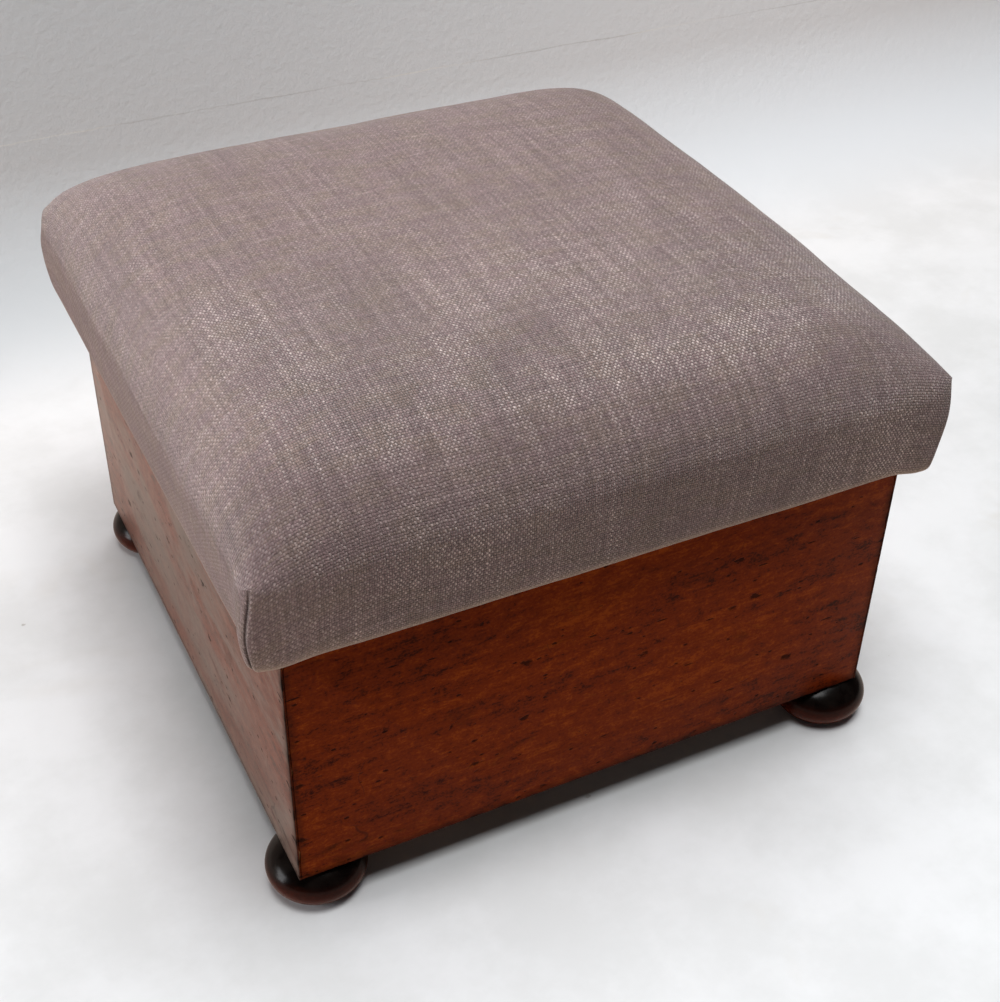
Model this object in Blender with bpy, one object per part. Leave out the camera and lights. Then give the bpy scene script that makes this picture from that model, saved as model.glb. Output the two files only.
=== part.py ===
"""Storage stool: a veneered square box on four turned bun feet, with a padded lid hinged along its back edge.

Lengths are in metres and +Z is up. The origin is on the floor under the middle of the stool. The front faces
-Y and the hinges are at +Y. Heights run up from the floor: feet, base board, walls, rim, then the lid's layers.
"""

from math import acos, cos, pi, radians, sin, sqrt

import bmesh
import bpy
from mathutils import Vector

# Gaps and cutters that every joint shares
TOUCH = 0.0003  # gap left between two pieces that touch
OVERRUN = 0.003  # how far a cutter runs past what it cuts
SMOOTH_ANGLE = radians(35)

# The box
BOX_WIDTH = 0.460
BOX_DEPTH = 0.460
BOX_HEIGHT = 0.210
VENEER_THICKNESS = 0.0015
WALL_THICKNESS = 0.0135
BASE_THICKNESS = 0.016

# Dovetails that join the side walls to the front and back walls
TAIL_COUNT = 4
TAIL_WIDTH_SHARE = 0.66  # of the spacing from tail to tail
TAIL_FLARE_SHARE = 1 / 6  # sideways flare for each length along the tail

# Glue blocks in the bottom corners of the box
BLOCK_LEG = 0.030
BLOCK_HEIGHT = 0.060
BLOCK_TOE = 0.004  # width of the blunt ends of the triangle

# Bun feet, turned with a spigot that is glued into the base board
FOOT_HEIGHT = 0.036
FOOT_RADIUS = 0.036
FOOT_FLAT_RADIUS = 0.024  # where it stands on the floor
FOOT_COLLAR_RADIUS = 0.021
FOOT_COLLAR_HEIGHT = 0.0016
FOOT_RINGS = 6  # above and below the widest ring
FOOT_SIDES = 28
SPIGOT_RADIUS = 0.0095
SPIGOT_LENGTH = 0.0150

# How far each foot's axis stands in from the side of the box and from its front or back, as shares of the
# foot's radius. The feet were set by eye, and no two stand alike.
FOOT_INSET_SHARES = {
    "front_left": (0.61, 0.78),
    "front_right": (0.49, 0.57),
    "back_left": (0.82, 0.48),
    "back_right": (0.60, 0.60),
}

# The lid's outer form
LID_OVERHANG = 0.0215  # past the box, where the padding is widest
LID_DRAW_IN = 0.0035  # how far the padding draws in again towards its lower edge
DRAW_IN_POWER = 1.5
LID_LOWER_ROLL = 0.008
LID_SIDE_HEIGHT = 0.066  # from the lid's underside to its widest level
LID_CROWN = 0.0588  # from the widest level to the top of the crown
LID_CORNER_RADIUS = 0.014
SHARPEST_CORNER_SHARE = 1 / 3  # of that radius, for the layers inside
CROWN_FLATNESS = 6.5  # a higher exponent keeps the crown flat closer to its edge
CROWN_ROLL = 1.64  # a higher exponent makes the shoulder squarer

# The lid's layers
COVER_THICKNESS = 0.0015
WADDING_THICKNESS = 0.0040
LAYER_GAP = 0.0006  # between the cover, the wadding and the foam
LID_BOARD_THICKNESS = 0.0140
LID_BOARD_CHAMFER = 0.0030
HEM_INSET = 0.035  # from the box's outer face to the inner edge of the turned-under cover
LINING_THICKNESS = 0.0010
LINING_CLEARANCE = 0.0040  # between the lining and the walls of the box

# Ring levels and ring points of the padded forms, as shares
CROWN_RING_SHARES = (0.992, 0.972, 0.940, 0.895, 0.830, 0.740, 0.600, 0.380)
EDGE_POINT_SHARES = (-0.91, -0.66, 0, 0.66, 0.91)
CORNER_STEPS = 3
ROLL_STEPS = 3
SIDE_STEPS = 2

# Butt hinges
HINGE_INSET = 0.095  # from the side of the box to the middle of the hinge
HINGE_LENGTH = 0.050
LEAF_THICKNESS = 0.0016
LEAF_WIDTH = 0.0150  # from the pin's axis to the leaf's free edge
KNUCKLE_RADIUS = 0.0025
KNUCKLE_COUNT = 5
KNUCKLE_GAP = 0.0003
KNUCKLE_SIDES = 16
PIN_RADIUS = 0.00125
PIN_BORE_RADIUS = 0.00145

# Countersunk wood screws of the hinges
SCREW_COUNT = 3
SCREW_END_DISTANCE = 0.0090  # from the end of the leaf to the middle of the outer screw
SCREW_HEAD_RADIUS = 0.0026
SCREW_HEAD_HEIGHT = 0.0013
SCREW_SHANK_RADIUS = 0.0013
SCREW_TIP_RADIUS = 0.0005
SCREW_LENGTH = 0.0110
SCREW_CLEARANCE = 0.0002
SCREW_POINT = 0.0020
SCREW_SIDES = 12

# Levels and half sizes that follow from the sizes above
BOX_BOTTOM = FOOT_HEIGHT
BASE_TOP = BOX_BOTTOM + BASE_THICKNESS
WALL_BOTTOM = BASE_TOP + TOUCH
RIM = BOX_BOTTOM + BOX_HEIGHT
WALL_HEIGHT = RIM - WALL_BOTTOM
HALF_WIDTH = BOX_WIDTH / 2
HALF_DEPTH = BOX_DEPTH / 2
CARCASE_INSET = VENEER_THICKNESS + TOUCH  # from the outer face to the pine behind the veneer
INNER_INSET = CARCASE_INSET + WALL_THICKNESS  # from the outer face to the inside of the box

LID_UNDERSIDE = RIM + TOUCH
SIDE_FOOT = LID_UNDERSIDE + LID_LOWER_ROLL
WIDEST_LEVEL = LID_UNDERSIDE + LID_SIDE_HEIGHT
LID_BOARD_BOTTOM = LID_UNDERSIDE + COVER_THICKNESS + TOUCH
LID_BOARD_TOP = LID_BOARD_BOTTOM + LID_BOARD_THICKNESS
WADDING_OFFSET = COVER_THICKNESS + LAYER_GAP
WADDING_INNER = WADDING_OFFSET + WADDING_THICKNESS
FOAM_OFFSET = WADDING_INNER + LAYER_GAP

HINGE_PACK = 2 * KNUCKLE_RADIUS  # closed thickness, from the outer face of one leaf to that of the other
PIN_OUT = KNUCKLE_RADIUS + TOUCH  # from the back of the box to the pin's axis
PIN_Y = HALF_DEPTH + PIN_OUT
PIN_Z = RIM - KNUCKLE_RADIUS
PIVOT = Vector((0, PIN_Y, PIN_Z))


def clear_scene():
    """Start from an empty scene."""
    for old in list(bpy.data.objects):
        bpy.data.objects.remove(old)


def finish_material(name, colour, roughness, metallic=0.0):
    """A Principled BSDF in one colour."""
    material = bpy.data.materials.new(name)
    material.use_nodes = True
    shader = material.node_tree.nodes["Principled BSDF"]
    shader.inputs["Base Color"].default_value = (*colour, 1)
    shader.inputs["Roughness"].default_value = roughness
    shader.inputs["Metallic"].default_value = metallic
    return material


def place(name, shape, material, location=(0, 0, 0), parent=None):
    """Turn a bmesh into a named object at a world location, hung on a parent if there is one."""
    bmesh.ops.recalc_face_normals(shape, faces=shape.faces)
    mesh = bpy.data.meshes.new(name)
    shape.to_mesh(mesh)
    shape.free()
    mesh.shade_smooth()
    mesh.set_sharp_from_angle(angle=SMOOTH_ANGLE)
    mesh.materials.append(material)
    obj = bpy.data.objects.new(name, mesh)
    bpy.context.scene.collection.objects.link(obj)
    obj.location = Vector(location)
    if parent:
        obj.parent = parent
        obj.location -= parent.location
    return obj


def cut(target, name, shape, location=(0, 0, 0)):
    """Cut a hidden helper shape out of an object."""
    cutter = place(name, shape, target.data.materials[0], location)
    cutter.hide_render = True
    cutter.display_type = "WIRE"
    modifier = target.modifiers.new(name, "BOOLEAN")
    modifier.operation = "DIFFERENCE"
    modifier.object = cutter


def block_shape(low, high, shape=None):
    """A rectangular block between two corners, added to a bmesh if one is given."""
    shape = shape or bmesh.new()
    low, high = Vector(low), Vector(high)
    made = bmesh.ops.create_cube(shape, size=1)["verts"]
    bmesh.ops.scale(shape, vec=high - low, verts=made)
    bmesh.ops.translate(shape, vec=(low + high) / 2, verts=made)
    return shape


def extruded(outline, along, shape=None):
    """A flat outline of 3-D points, extruded by a vector."""
    shape = shape or bmesh.new()
    face = shape.faces.new([shape.verts.new(point) for point in outline])
    pushed = bmesh.ops.extrude_face_region(shape, geom=[face])["geom"]
    moved = [item for item in pushed if isinstance(item, bmesh.types.BMVert)]
    bmesh.ops.translate(shape, vec=Vector(along), verts=moved)
    return shape


def skin(rings, shape=None):
    """Bridge rings of points, one after the other, and cap the two ends."""
    shape = shape or bmesh.new()
    loops = [[shape.verts.new(point) for point in ring] for ring in rings]
    for lower, upper in zip(loops, loops[1:]):
        count = len(lower)
        for i in range(count):
            j = (i + 1) % count
            shape.faces.new((lower[i], lower[j], upper[j], upper[i]))
    shape.faces.new(loops[0][::-1])
    shape.faces.new(loops[-1])
    return shape


def turned(profile, sides, shape=None, centre=(0, 0, 0)):
    """A solid turned about Z from a profile of (radius, height) points, from bottom to top."""
    rings = []
    for radius, height in profile:
        turn = [2 * pi * i / sides for i in range(sides)]
        rings.append([Vector((radius * cos(a), radius * sin(a), height)) + Vector(centre) for a in turn])
    return skin(rings, shape)


def rounded_rectangle(half_x, half_y, radius):
    """Points round a rounded rectangle: each corner's arc, then the points along the side that follows it."""
    reach_x, reach_y = half_x - radius, half_y - radius
    points = []
    for quarter, (sign_x, sign_y) in enumerate(((1, 1), (-1, 1), (-1, -1), (1, -1))):
        for step in range(CORNER_STEPS + 1):
            angle = pi / 2 * (quarter + step / CORNER_STEPS)
            points.append((sign_x * reach_x + radius * cos(angle), sign_y * reach_y + radius * sin(angle)))
        for share in EDGE_POINT_SHARES:
            if quarter % 2 == 0:
                points.append((-sign_x * share * reach_x, sign_y * half_y))
            else:
                points.append((sign_x * half_x, -sign_y * share * reach_y))
    return points


def ring_at(inset, height, offset=0.0):
    """One level ring of the lid's outline, drawn in by an inset from its widest line."""
    half_x = HALF_WIDTH + LID_OVERHANG - inset
    half_y = HALF_DEPTH + LID_OVERHANG - inset
    radius = max(LID_CORNER_RADIUS - offset, LID_CORNER_RADIUS * SHARPEST_CORNER_SHARE)
    return [Vector((x, y, height)) for x, y in rounded_rectangle(half_x, half_y, radius)]


def lower_roll_rings(offset):
    """Rings of the lower roll, from the lid's underside to just below the foot of the side."""
    radius = LID_LOWER_ROLL - offset
    rings = []
    for step in range(ROLL_STEPS):
        turn = pi / 2 * step / ROLL_STEPS
        inset = LID_DRAW_IN + LID_LOWER_ROLL - radius * sin(turn)
        rings.append(ring_at(inset, SIDE_FOOT - radius * cos(turn), offset))
    return rings


def side_ring(level, offset):
    """One ring of the side, which draws in towards its foot."""
    share = (level - SIDE_FOOT) / (WIDEST_LEVEL - SIDE_FOOT)
    return ring_at(LID_DRAW_IN * (1 - share) ** DRAW_IN_POWER + offset, level, offset)


def side_rings(offset, lowest=SIDE_FOOT):
    """Rings of the side, from its lowest level up to the widest."""
    rise = WIDEST_LEVEL - lowest
    return [side_ring(lowest + rise * step / SIDE_STEPS, offset) for step in range(SIDE_STEPS + 1)]


def crown_height(x, y, offset):
    """Height of the crowned top over the widest level, for a surface set in by an offset."""
    half_x = HALF_WIDTH + LID_OVERHANG - offset
    half_y = HALF_DEPTH + LID_OVERHANG - offset
    rise = 1.0
    for share in (abs(x) / half_x, abs(y) / half_y):
        rise *= max(1 - share**CROWN_FLATNESS, 0) ** (1 / CROWN_ROLL)
    return (LID_CROWN - offset) * rise


def crown_rings(offset):
    """Rings of the crowned top, drawn towards the middle, each point at its own height."""
    rings = []
    for share in CROWN_RING_SHARES:
        ring = []
        for point in ring_at(offset, WIDEST_LEVEL, offset):
            x, y = point.x * share, point.y * share
            ring.append(Vector((x, y, WIDEST_LEVEL + crown_height(x, y, offset))))
        rings.append(ring)
    return rings


def tail_centres():
    """Heights of the middle of each dovetail."""
    spacing = WALL_HEIGHT / TAIL_COUNT
    return [WALL_BOTTOM + spacing * (i + 0.5) for i in range(TAIL_COUNT)]


def tail_half_width(along):
    """Half the width of a tail, at a distance along it from its shoulder."""
    widest = WALL_HEIGHT / TAIL_COUNT * TAIL_WIDTH_SHARE / 2
    return widest - (WALL_THICKNESS - along) * TAIL_FLARE_SHARE


def side_wall(name, sign, material):
    """A left or right wall, whose ends are cut into dovetails."""
    shoulder = HALF_DEPTH - INNER_INSET - TOUCH
    tip = HALF_DEPTH - CARCASE_INSET
    root, end = tail_half_width(-TOUCH), tail_half_width(WALL_THICKNESS)
    right_edge = [(shoulder, WALL_BOTTOM)]
    for height in tail_centres():
        right_edge += [(shoulder, height - root), (tip, height - end)]
        right_edge += [(tip, height + end), (shoulder, height + root)]
    right_edge.append((shoulder, RIM))
    outline = right_edge + [(-y, z) for y, z in reversed(right_edge)]
    inner = HALF_WIDTH - INNER_INSET
    points = [Vector((sign * inner, y, z)) for y, z in outline]
    return place(name, extruded(points, (sign * WALL_THICKNESS, 0, 0)), material)


def dovetail_sockets(sign):
    """The spaces for the tails in both ends of the front or back wall, as one cutter."""
    shape = bmesh.new()
    face = HALF_DEPTH - CARCASE_INSET
    beyond = WALL_THICKNESS + OVERRUN
    for end in (-1, 1):
        start = end * (HALF_WIDTH - INNER_INSET - TOUCH)
        for height in tail_centres():
            outline = []
            for edge, along in ((-1, -OVERRUN), (-1, beyond), (1, beyond), (1, -OVERRUN)):
                y = sign * (face - WALL_THICKNESS + along)
                outline.append(Vector((start, y, height + edge * (tail_half_width(along) + TOUCH))))
            extruded(outline, (end * (WALL_THICKNESS + TOUCH + OVERRUN), 0, 0), shape)
    return shape


def long_wall(name, sign, material):
    """The front or back wall, which takes the side walls' tails in its ends."""
    half = HALF_WIDTH - CARCASE_INSET
    outer = sign * (HALF_DEPTH - CARCASE_INSET)
    inner = sign * (HALF_DEPTH - INNER_INSET)
    low = (-half, min(outer, inner), WALL_BOTTOM)
    high = (half, max(outer, inner), RIM)
    wall = place(name, block_shape(low, high), material)
    cut(wall, name + "_sockets", dovetail_sockets(sign))
    return wall


def veneers(material):
    """Four sheets of veneer. The side sheets run over the ends of the front and back sheets."""
    made = {}
    for name, sign in (("left_veneer", -1), ("right_veneer", 1)):
        centre = sign * (HALF_WIDTH - VENEER_THICKNESS / 2)
        size = Vector((VENEER_THICKNESS, BOX_DEPTH, BOX_HEIGHT)) / 2
        made[name] = place(name, block_shape(-size, size), material, (centre, 0, BOX_BOTTOM + BOX_HEIGHT / 2))
    for name, sign in (("front_veneer", -1), ("back_veneer", 1)):
        centre = sign * (HALF_DEPTH - VENEER_THICKNESS / 2)
        size = Vector((BOX_WIDTH - 2 * CARCASE_INSET, VENEER_THICKNESS, BOX_HEIGHT)) / 2
        made[name] = place(name, block_shape(-size, size), material, (0, centre, BOX_BOTTOM + BOX_HEIGHT / 2))
    return made


def corners():
    """Name and signs of the four corners."""
    return (("front_left", -1, -1), ("front_right", 1, -1), ("back_left", -1, 1), ("back_right", 1, 1))


def foot_places():
    """Name and axis of each foot, as (x, y)."""
    places = []
    for name, sign_x, sign_y in corners():
        from_side, from_end = (share * FOOT_RADIUS for share in FOOT_INSET_SHARES[name])
        places.append((name, sign_x * (HALF_WIDTH - from_side), sign_y * (HALF_DEPTH - from_end)))
    return places


def base_board(material):
    """The bottom of the box, bored through for the four spigots."""
    size = Vector((HALF_WIDTH - CARCASE_INSET, HALF_DEPTH - CARCASE_INSET, BASE_THICKNESS / 2))
    board = place("base_board", block_shape(-size, size), material, (0, 0, BOX_BOTTOM + BASE_THICKNESS / 2))
    bores = bmesh.new()
    radius = SPIGOT_RADIUS + TOUCH
    reach = BASE_THICKNESS / 2 + OVERRUN
    for _, x, y in foot_places():
        turned([(radius, -reach), (radius, reach)], FOOT_SIDES, bores, (x, y, 0))
    cut(board, "spigot_bores", bores, board.location)


def glue_blocks(material):
    """Triangular blocks, blunt at their toes, in the bottom corners of the box."""
    for name, sign_x, sign_y in corners():
        leg, toe = BLOCK_LEG, BLOCK_TOE
        outline = [(0, 0), (leg, 0), (leg, toe), (toe, leg), (0, leg)]
        points = [Vector((-sign_x * x, -sign_y * y, 0)) for x, y in outline]
        inset = INNER_INSET + TOUCH
        location = (sign_x * (HALF_WIDTH - inset), sign_y * (HALF_DEPTH - inset), WALL_BOTTOM)
        place(name + "_block", extruded(points, (0, 0, BLOCK_HEIGHT)), material, location)


def foot_profile():
    """The turned outline of a bun foot, from the floor to the top of its spigot."""
    shoulder = FOOT_HEIGHT - TOUCH
    half = (shoulder - FOOT_COLLAR_HEIGHT) / 2
    profile = []
    for flat_radius, direction in ((FOOT_FLAT_RADIUS, -1), (FOOT_COLLAR_RADIUS, 1)):
        limit = acos(flat_radius / FOOT_RADIUS)
        arc = []
        for step in range(1, FOOT_RINGS + 1):
            turn = limit * step / FOOT_RINGS
            arc.append((FOOT_RADIUS * cos(turn), half + direction * half * sin(turn) / sin(limit)))
        profile += arc if direction > 0 else [*reversed(arc), (FOOT_RADIUS, half)]
    profile.append((FOOT_COLLAR_RADIUS, shoulder))
    profile.append((SPIGOT_RADIUS, shoulder))
    profile.append((SPIGOT_RADIUS, shoulder + TOUCH + SPIGOT_LENGTH))
    return profile


def feet(material):
    """Four bun feet, one near each corner, standing proud of the box's faces."""
    for name, x, y in foot_places():
        place(name + "_foot", turned(foot_profile(), FOOT_SIDES), material, (x, y, 0))


def hinge_centres():
    """Side and place along X of each hinge."""
    reach = HALF_WIDTH - HINGE_INSET
    return (("left", -reach), ("right", reach))


def screw_places(centre):
    """Where the screws of one leaf stand, as (x, y)."""
    middle = PIN_Y - PIN_OUT - (LEAF_WIDTH - PIN_OUT) / 2
    reach = HINGE_LENGTH / 2 - SCREW_END_DISTANCE
    spacing = 2 * reach / (SCREW_COUNT - 1)
    return [(centre - reach + spacing * i, middle) for i in range(SCREW_COUNT)]


def screw_head_level(up):
    """Height of the leaf's face that the screw heads lie in, which faces the other leaf."""
    return PIN_Z + up * (KNUCKLE_RADIUS - LEAF_THICKNESS)


def screw_profile():
    """A countersunk screw, from its point to the top of its head at height zero."""
    return [
        (SCREW_TIP_RADIUS, -SCREW_LENGTH),
        (SCREW_SHANK_RADIUS, SCREW_POINT - SCREW_LENGTH),
        (SCREW_SHANK_RADIUS, -SCREW_HEAD_HEIGHT),
        (SCREW_HEAD_RADIUS, 0),
    ]


def leaf_hole_profile():
    """The countersunk hole for a screw through a leaf."""
    shank, head = SCREW_SHANK_RADIUS + SCREW_CLEARANCE, SCREW_HEAD_RADIUS + SCREW_CLEARANCE
    return [(shank, -LEAF_THICKNESS - OVERRUN), (shank, -SCREW_HEAD_HEIGHT), (head, 0), (head, OVERRUN)]


def wood_bore_profile():
    """The bore for a screw in the wood or cloth behind a leaf."""
    shank = SCREW_SHANK_RADIUS + SCREW_CLEARANCE
    return [(shank, -SCREW_LENGTH - SCREW_CLEARANCE), (shank, 0)]


def screw_turning(profile, up, shape, head=(0, 0, 0)):
    """Turn a screw or its hole below its head, down into the box, or up into the lid where up is 1."""
    points = [(radius, -up * height) for radius, height in profile]
    return turned(points, SCREW_SIDES, shape, head)


def leaf_shape(up):
    """One hinge leaf, plate and knuckle in one outline, along X about the pin. Up is 1 for the lid's leaf."""
    outline = [(-LEAF_WIDTH, -KNUCKLE_RADIUS), (0, -KNUCKLE_RADIUS)]
    plate_top = LEAF_THICKNESS - KNUCKLE_RADIUS
    for i in range(1, KNUCKLE_SIDES):
        angle = -pi / 2 + 2 * pi * i / KNUCKLE_SIDES
        y, z = KNUCKLE_RADIUS * cos(angle), KNUCKLE_RADIUS * sin(angle)
        if y >= 0 or z > plate_top:
            outline.append((y, z))
    outline += [(-sqrt(KNUCKLE_RADIUS**2 - plate_top**2), plate_top), (-LEAF_WIDTH, plate_top)]
    points = [Vector((-HINGE_LENGTH / 2, y, -up * z)) for y, z in outline]
    return extruded(points, (HINGE_LENGTH, 0, 0))


def knuckle_gaps(first):
    """Room for the other leaf's knuckles, starting with knuckle number first."""
    shape = bmesh.new()
    pitch = HINGE_LENGTH / KNUCKLE_COUNT
    reach = KNUCKLE_RADIUS + TOUCH
    for i in range(first, KNUCKLE_COUNT, 2):
        start = -HINGE_LENGTH / 2 + pitch * i - KNUCKLE_GAP / 2
        end = start + pitch + KNUCKLE_GAP
        start -= OVERRUN if i == 0 else 0
        end += OVERRUN if i == KNUCKLE_COUNT - 1 else 0
        block_shape((start, -reach, -reach - OVERRUN), (end, reach + OVERRUN, reach + OVERRUN), shape)
    return shape


def pin_shape(radius, half_length):
    """A round bar along X."""
    shape = turned([(radius, -half_length), (radius, half_length)], KNUCKLE_SIDES)
    for vertex in shape.verts:
        vertex.co = Vector((vertex.co.z, vertex.co.y, -vertex.co.x))
    return shape


def leaf_holes(centre, up):
    """The holes of one leaf."""
    shape = bmesh.new()
    for x, y in screw_places(centre):
        screw_turning(leaf_hole_profile(), up, shape, (x, y, screw_head_level(up)))
    return shape


def screw_bores(up):
    """The bores for the screws of both box leaves, or of both lid leaves."""
    shape = bmesh.new()
    for _, centre in hinge_centres():
        for x, y in screw_places(centre):
            screw_turning(wood_bore_profile(), up, shape, (x, y, screw_head_level(up)))
    return shape


def screws(leaf_name, centre, up, material, parent):
    """The screws of one leaf, each its own piece."""
    for number, (x, y) in enumerate(screw_places(centre), start=1):
        name = leaf_name.replace("leaf", f"screw_{number}")
        shape = screw_turning(screw_profile(), up, bmesh.new())
        place(name, shape, material, (x, y, screw_head_level(up)), parent)


def hinge_mortises():
    """Rebates in the rim that take both leaves of each hinge, open to the back."""
    shape = bmesh.new()
    inner = PIN_Y - LEAF_WIDTH - TOUCH
    for _, centre in hinge_centres():
        half = HINGE_LENGTH / 2 + TOUCH
        low = (centre - half, inner, RIM - HINGE_PACK - TOUCH)
        high = (centre + half, HALF_DEPTH + OVERRUN, RIM + OVERRUN)
        block_shape(low, high, shape)
    return shape


def hinges(brass, steel, pivot):
    """Two butt hinges: a leaf on the box, a leaf on the lid and the pin between them."""
    for side, centre in hinge_centres():
        place_at = (centre, PIN_Y, PIN_Z)
        for owner, up, parent in (("box", -1, None), ("lid", 1, pivot)):
            leaf = place(f"{side}_hinge_{owner}_leaf", leaf_shape(up), brass, place_at, parent)
            first_gap = 1 if owner == "box" else 0
            cut(leaf, f"{leaf.name}_gaps", knuckle_gaps(first_gap), place_at)
            cut(leaf, f"{leaf.name}_bore", pin_shape(PIN_BORE_RADIUS, HINGE_LENGTH / 2 + OVERRUN), place_at)
            cut(leaf, f"{leaf.name}_holes", leaf_holes(centre, up))
            screws(leaf.name, centre, up, steel, parent)
        place(f"{side}_hinge_pin", pin_shape(PIN_RADIUS, HINGE_LENGTH / 2), steel, place_at)


def lid_board(material, pivot):
    """The board that carries the padding, chamfered below so that the cover turns under smoothly."""
    inset = LID_DRAW_IN + FOAM_OFFSET
    levels = (
        (inset + LID_BOARD_CHAMFER, LID_BOARD_BOTTOM),
        (inset, LID_BOARD_BOTTOM + LID_BOARD_CHAMFER),
        (inset, LID_BOARD_TOP),
    )
    board = place("lid_board", skin([ring_at(i, z, FOAM_OFFSET) for i, z in levels]), material, parent=pivot)
    cut(board, "lid_screw_bores", screw_bores(1))


def foam_pad(material, pivot):
    """The foam block: flat below on the board, drawn-in sides and a crowned top."""
    rings = side_rings(FOAM_OFFSET, LID_BOARD_TOP + TOUCH) + crown_rings(FOAM_OFFSET)
    place("foam_pad", skin(rings), material, parent=pivot)


def wadding(material, pivot):
    """A soft layer over the foam and down the edges of the board, open below."""
    outside = side_rings(WADDING_OFFSET) + crown_rings(WADDING_OFFSET)
    inside = side_rings(WADDING_INNER) + crown_rings(WADDING_INNER)
    place("wadding", skin(outside[::-1] + inside), material, parent=pivot)


def seat_cover(material, pivot):
    """The woven cover: over the top, down the sides and turned under to a hem, open in the middle below."""
    faces = []
    for offset in (0, COVER_THICKNESS):
        hem = ring_at(LID_OVERHANG + HEM_INSET, LID_UNDERSIDE + offset)
        faces.append([hem, *lower_roll_rings(offset), *side_rings(offset), *crown_rings(offset)])
    outside, inside = faces
    cover = place("seat_cover", skin(outside[::-1] + inside), material, parent=pivot)
    cut(cover, "hem_screw_holes", screw_bores(1))


def lid_lining(material, pivot):
    """The lining under the lid, over the hem of the cover and clear of the walls of the box."""
    inset = INNER_INSET + LINING_CLEARANCE
    size = Vector((HALF_WIDTH - inset, HALF_DEPTH - inset, LINING_THICKNESS / 2))
    level = LID_UNDERSIDE - TOUCH - LINING_THICKNESS / 2
    place("lid_lining", block_shape(-size, size), material, (0, 0, level), pivot)


def build():
    """Make every piece of the stool."""
    clear_scene()
    pine = finish_material("pine", (0.42, 0.24, 0.11), 0.65)
    mahogany = finish_material("mahogany", (0.27, 0.085, 0.025), 0.32)
    dark_turning = finish_material("dark_turning", (0.035, 0.012, 0.008), 0.22)
    cloth = finish_material("woven_cloth", (0.30, 0.245, 0.225), 0.9)
    soft = finish_material("padding", (0.80, 0.77, 0.68), 0.95)
    black_cloth = finish_material("lining_cloth", (0.03, 0.03, 0.03), 0.95)
    brass = finish_material("brass", (0.60, 0.42, 0.16), 0.35, 1.0)
    steel = finish_material("steel", (0.45, 0.43, 0.40), 0.4, 1.0)

    side_wall("left_board", -1, pine)
    side_wall("right_board", 1, pine)
    long_wall("front_board", -1, pine)
    back = long_wall("back_board", 1, pine)
    sheets = veneers(mahogany)
    base_board(pine)
    glue_blocks(pine)
    feet(dark_turning)

    cut(back, "wall_mortises", hinge_mortises())
    cut(back, "wall_screw_bores", screw_bores(-1))
    cut(sheets["back_veneer"], "veneer_mortises", hinge_mortises())

    pivot = bpy.data.objects.new("lid_pivot", None)
    bpy.context.scene.collection.objects.link(pivot)
    pivot.location = PIVOT
    lid_board(pine, pivot)
    foam_pad(soft, pivot)
    wadding(soft, pivot)
    seat_cover(cloth, pivot)
    lid_lining(black_cloth, pivot)
    hinges(brass, steel, pivot)


build()
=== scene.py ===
# %% [markdown]
# # A veneered storage stool with an upholstered lid
#
# The stool is a square box, veneered in old mahogany, on four turned bun feet. Its lid is a thick pad under a
# coarse cloth and lifts on two hinges at the back. The solids already exist at their real size and are loaded
# as a frame. This lesson gives them their looks: a cloth simulation swells the pad, the veneer gets worn edges,
# the feet get a smooth turning, and every surface gets a material made of nodes.

# %% Load the frame
from math import acos, cos, pi, radians, sin

import bmesh
import bpy
import numpy as np
from mathutils import Matrix, Vector, noise


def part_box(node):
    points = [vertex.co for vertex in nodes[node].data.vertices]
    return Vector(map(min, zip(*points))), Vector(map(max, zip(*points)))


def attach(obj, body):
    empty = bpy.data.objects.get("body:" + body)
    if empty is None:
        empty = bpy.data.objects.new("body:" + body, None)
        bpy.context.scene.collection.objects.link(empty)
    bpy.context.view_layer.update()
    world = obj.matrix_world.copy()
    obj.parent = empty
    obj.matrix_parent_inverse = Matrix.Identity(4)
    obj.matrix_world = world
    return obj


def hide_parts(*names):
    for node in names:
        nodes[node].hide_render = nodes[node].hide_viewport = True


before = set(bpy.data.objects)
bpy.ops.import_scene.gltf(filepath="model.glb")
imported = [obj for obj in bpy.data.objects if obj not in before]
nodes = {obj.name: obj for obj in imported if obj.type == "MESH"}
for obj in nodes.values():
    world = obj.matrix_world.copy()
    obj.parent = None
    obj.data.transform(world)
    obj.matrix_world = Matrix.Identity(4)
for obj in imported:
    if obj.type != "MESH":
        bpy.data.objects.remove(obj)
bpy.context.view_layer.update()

# %% [markdown]
# ## The sizes that everything follows
#
# A piece that replaces a solid has to fill the same space, so the main sizes are read from the frame's boxes.

# %% Sizes read from the frame
TOUCH = 0.0003  # the gap that two touching pieces keep
MM = 0.001

box_low, box_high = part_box("left_veneer")
BOX_HALF = -box_low.x
BOX_BOTTOM, RIM = box_low.z, box_high.z
VENEER = box_high.x - box_low.x
pad_low, pad_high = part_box("seat_cover")
PAD_HALF = pad_high.x
PAD_BOTTOM, PAD_TOP = pad_low.z, pad_high.z
print(f"box {2 * BOX_HALF / MM:.0f} mm square, rim at {RIM / MM:.0f} mm, pad {2 * PAD_HALF / MM:.0f} mm square")

# %% [markdown]
# ## Camera
#
# The photo was taken from a little over a metre away, looking down at the front left corner. These values come
# from fitting the box's corners.

# %% Camera
CAMERA_PLACE = Vector((-0.4314, -0.9112, 0.9039))
CAMERA_HEADING, CAMERA_DOWN, CAMERA_ROLL = radians(27.03), radians(37.70), radians(1.20)
SENSOR = 36
FOCAL_PIXELS, IMAGE_HEIGHT = 1602, 1002


def linked(name, data):
    """A new object in the scene."""
    item = bpy.data.objects.new(name, data)
    bpy.context.scene.collection.objects.link(item)
    return item


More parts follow.
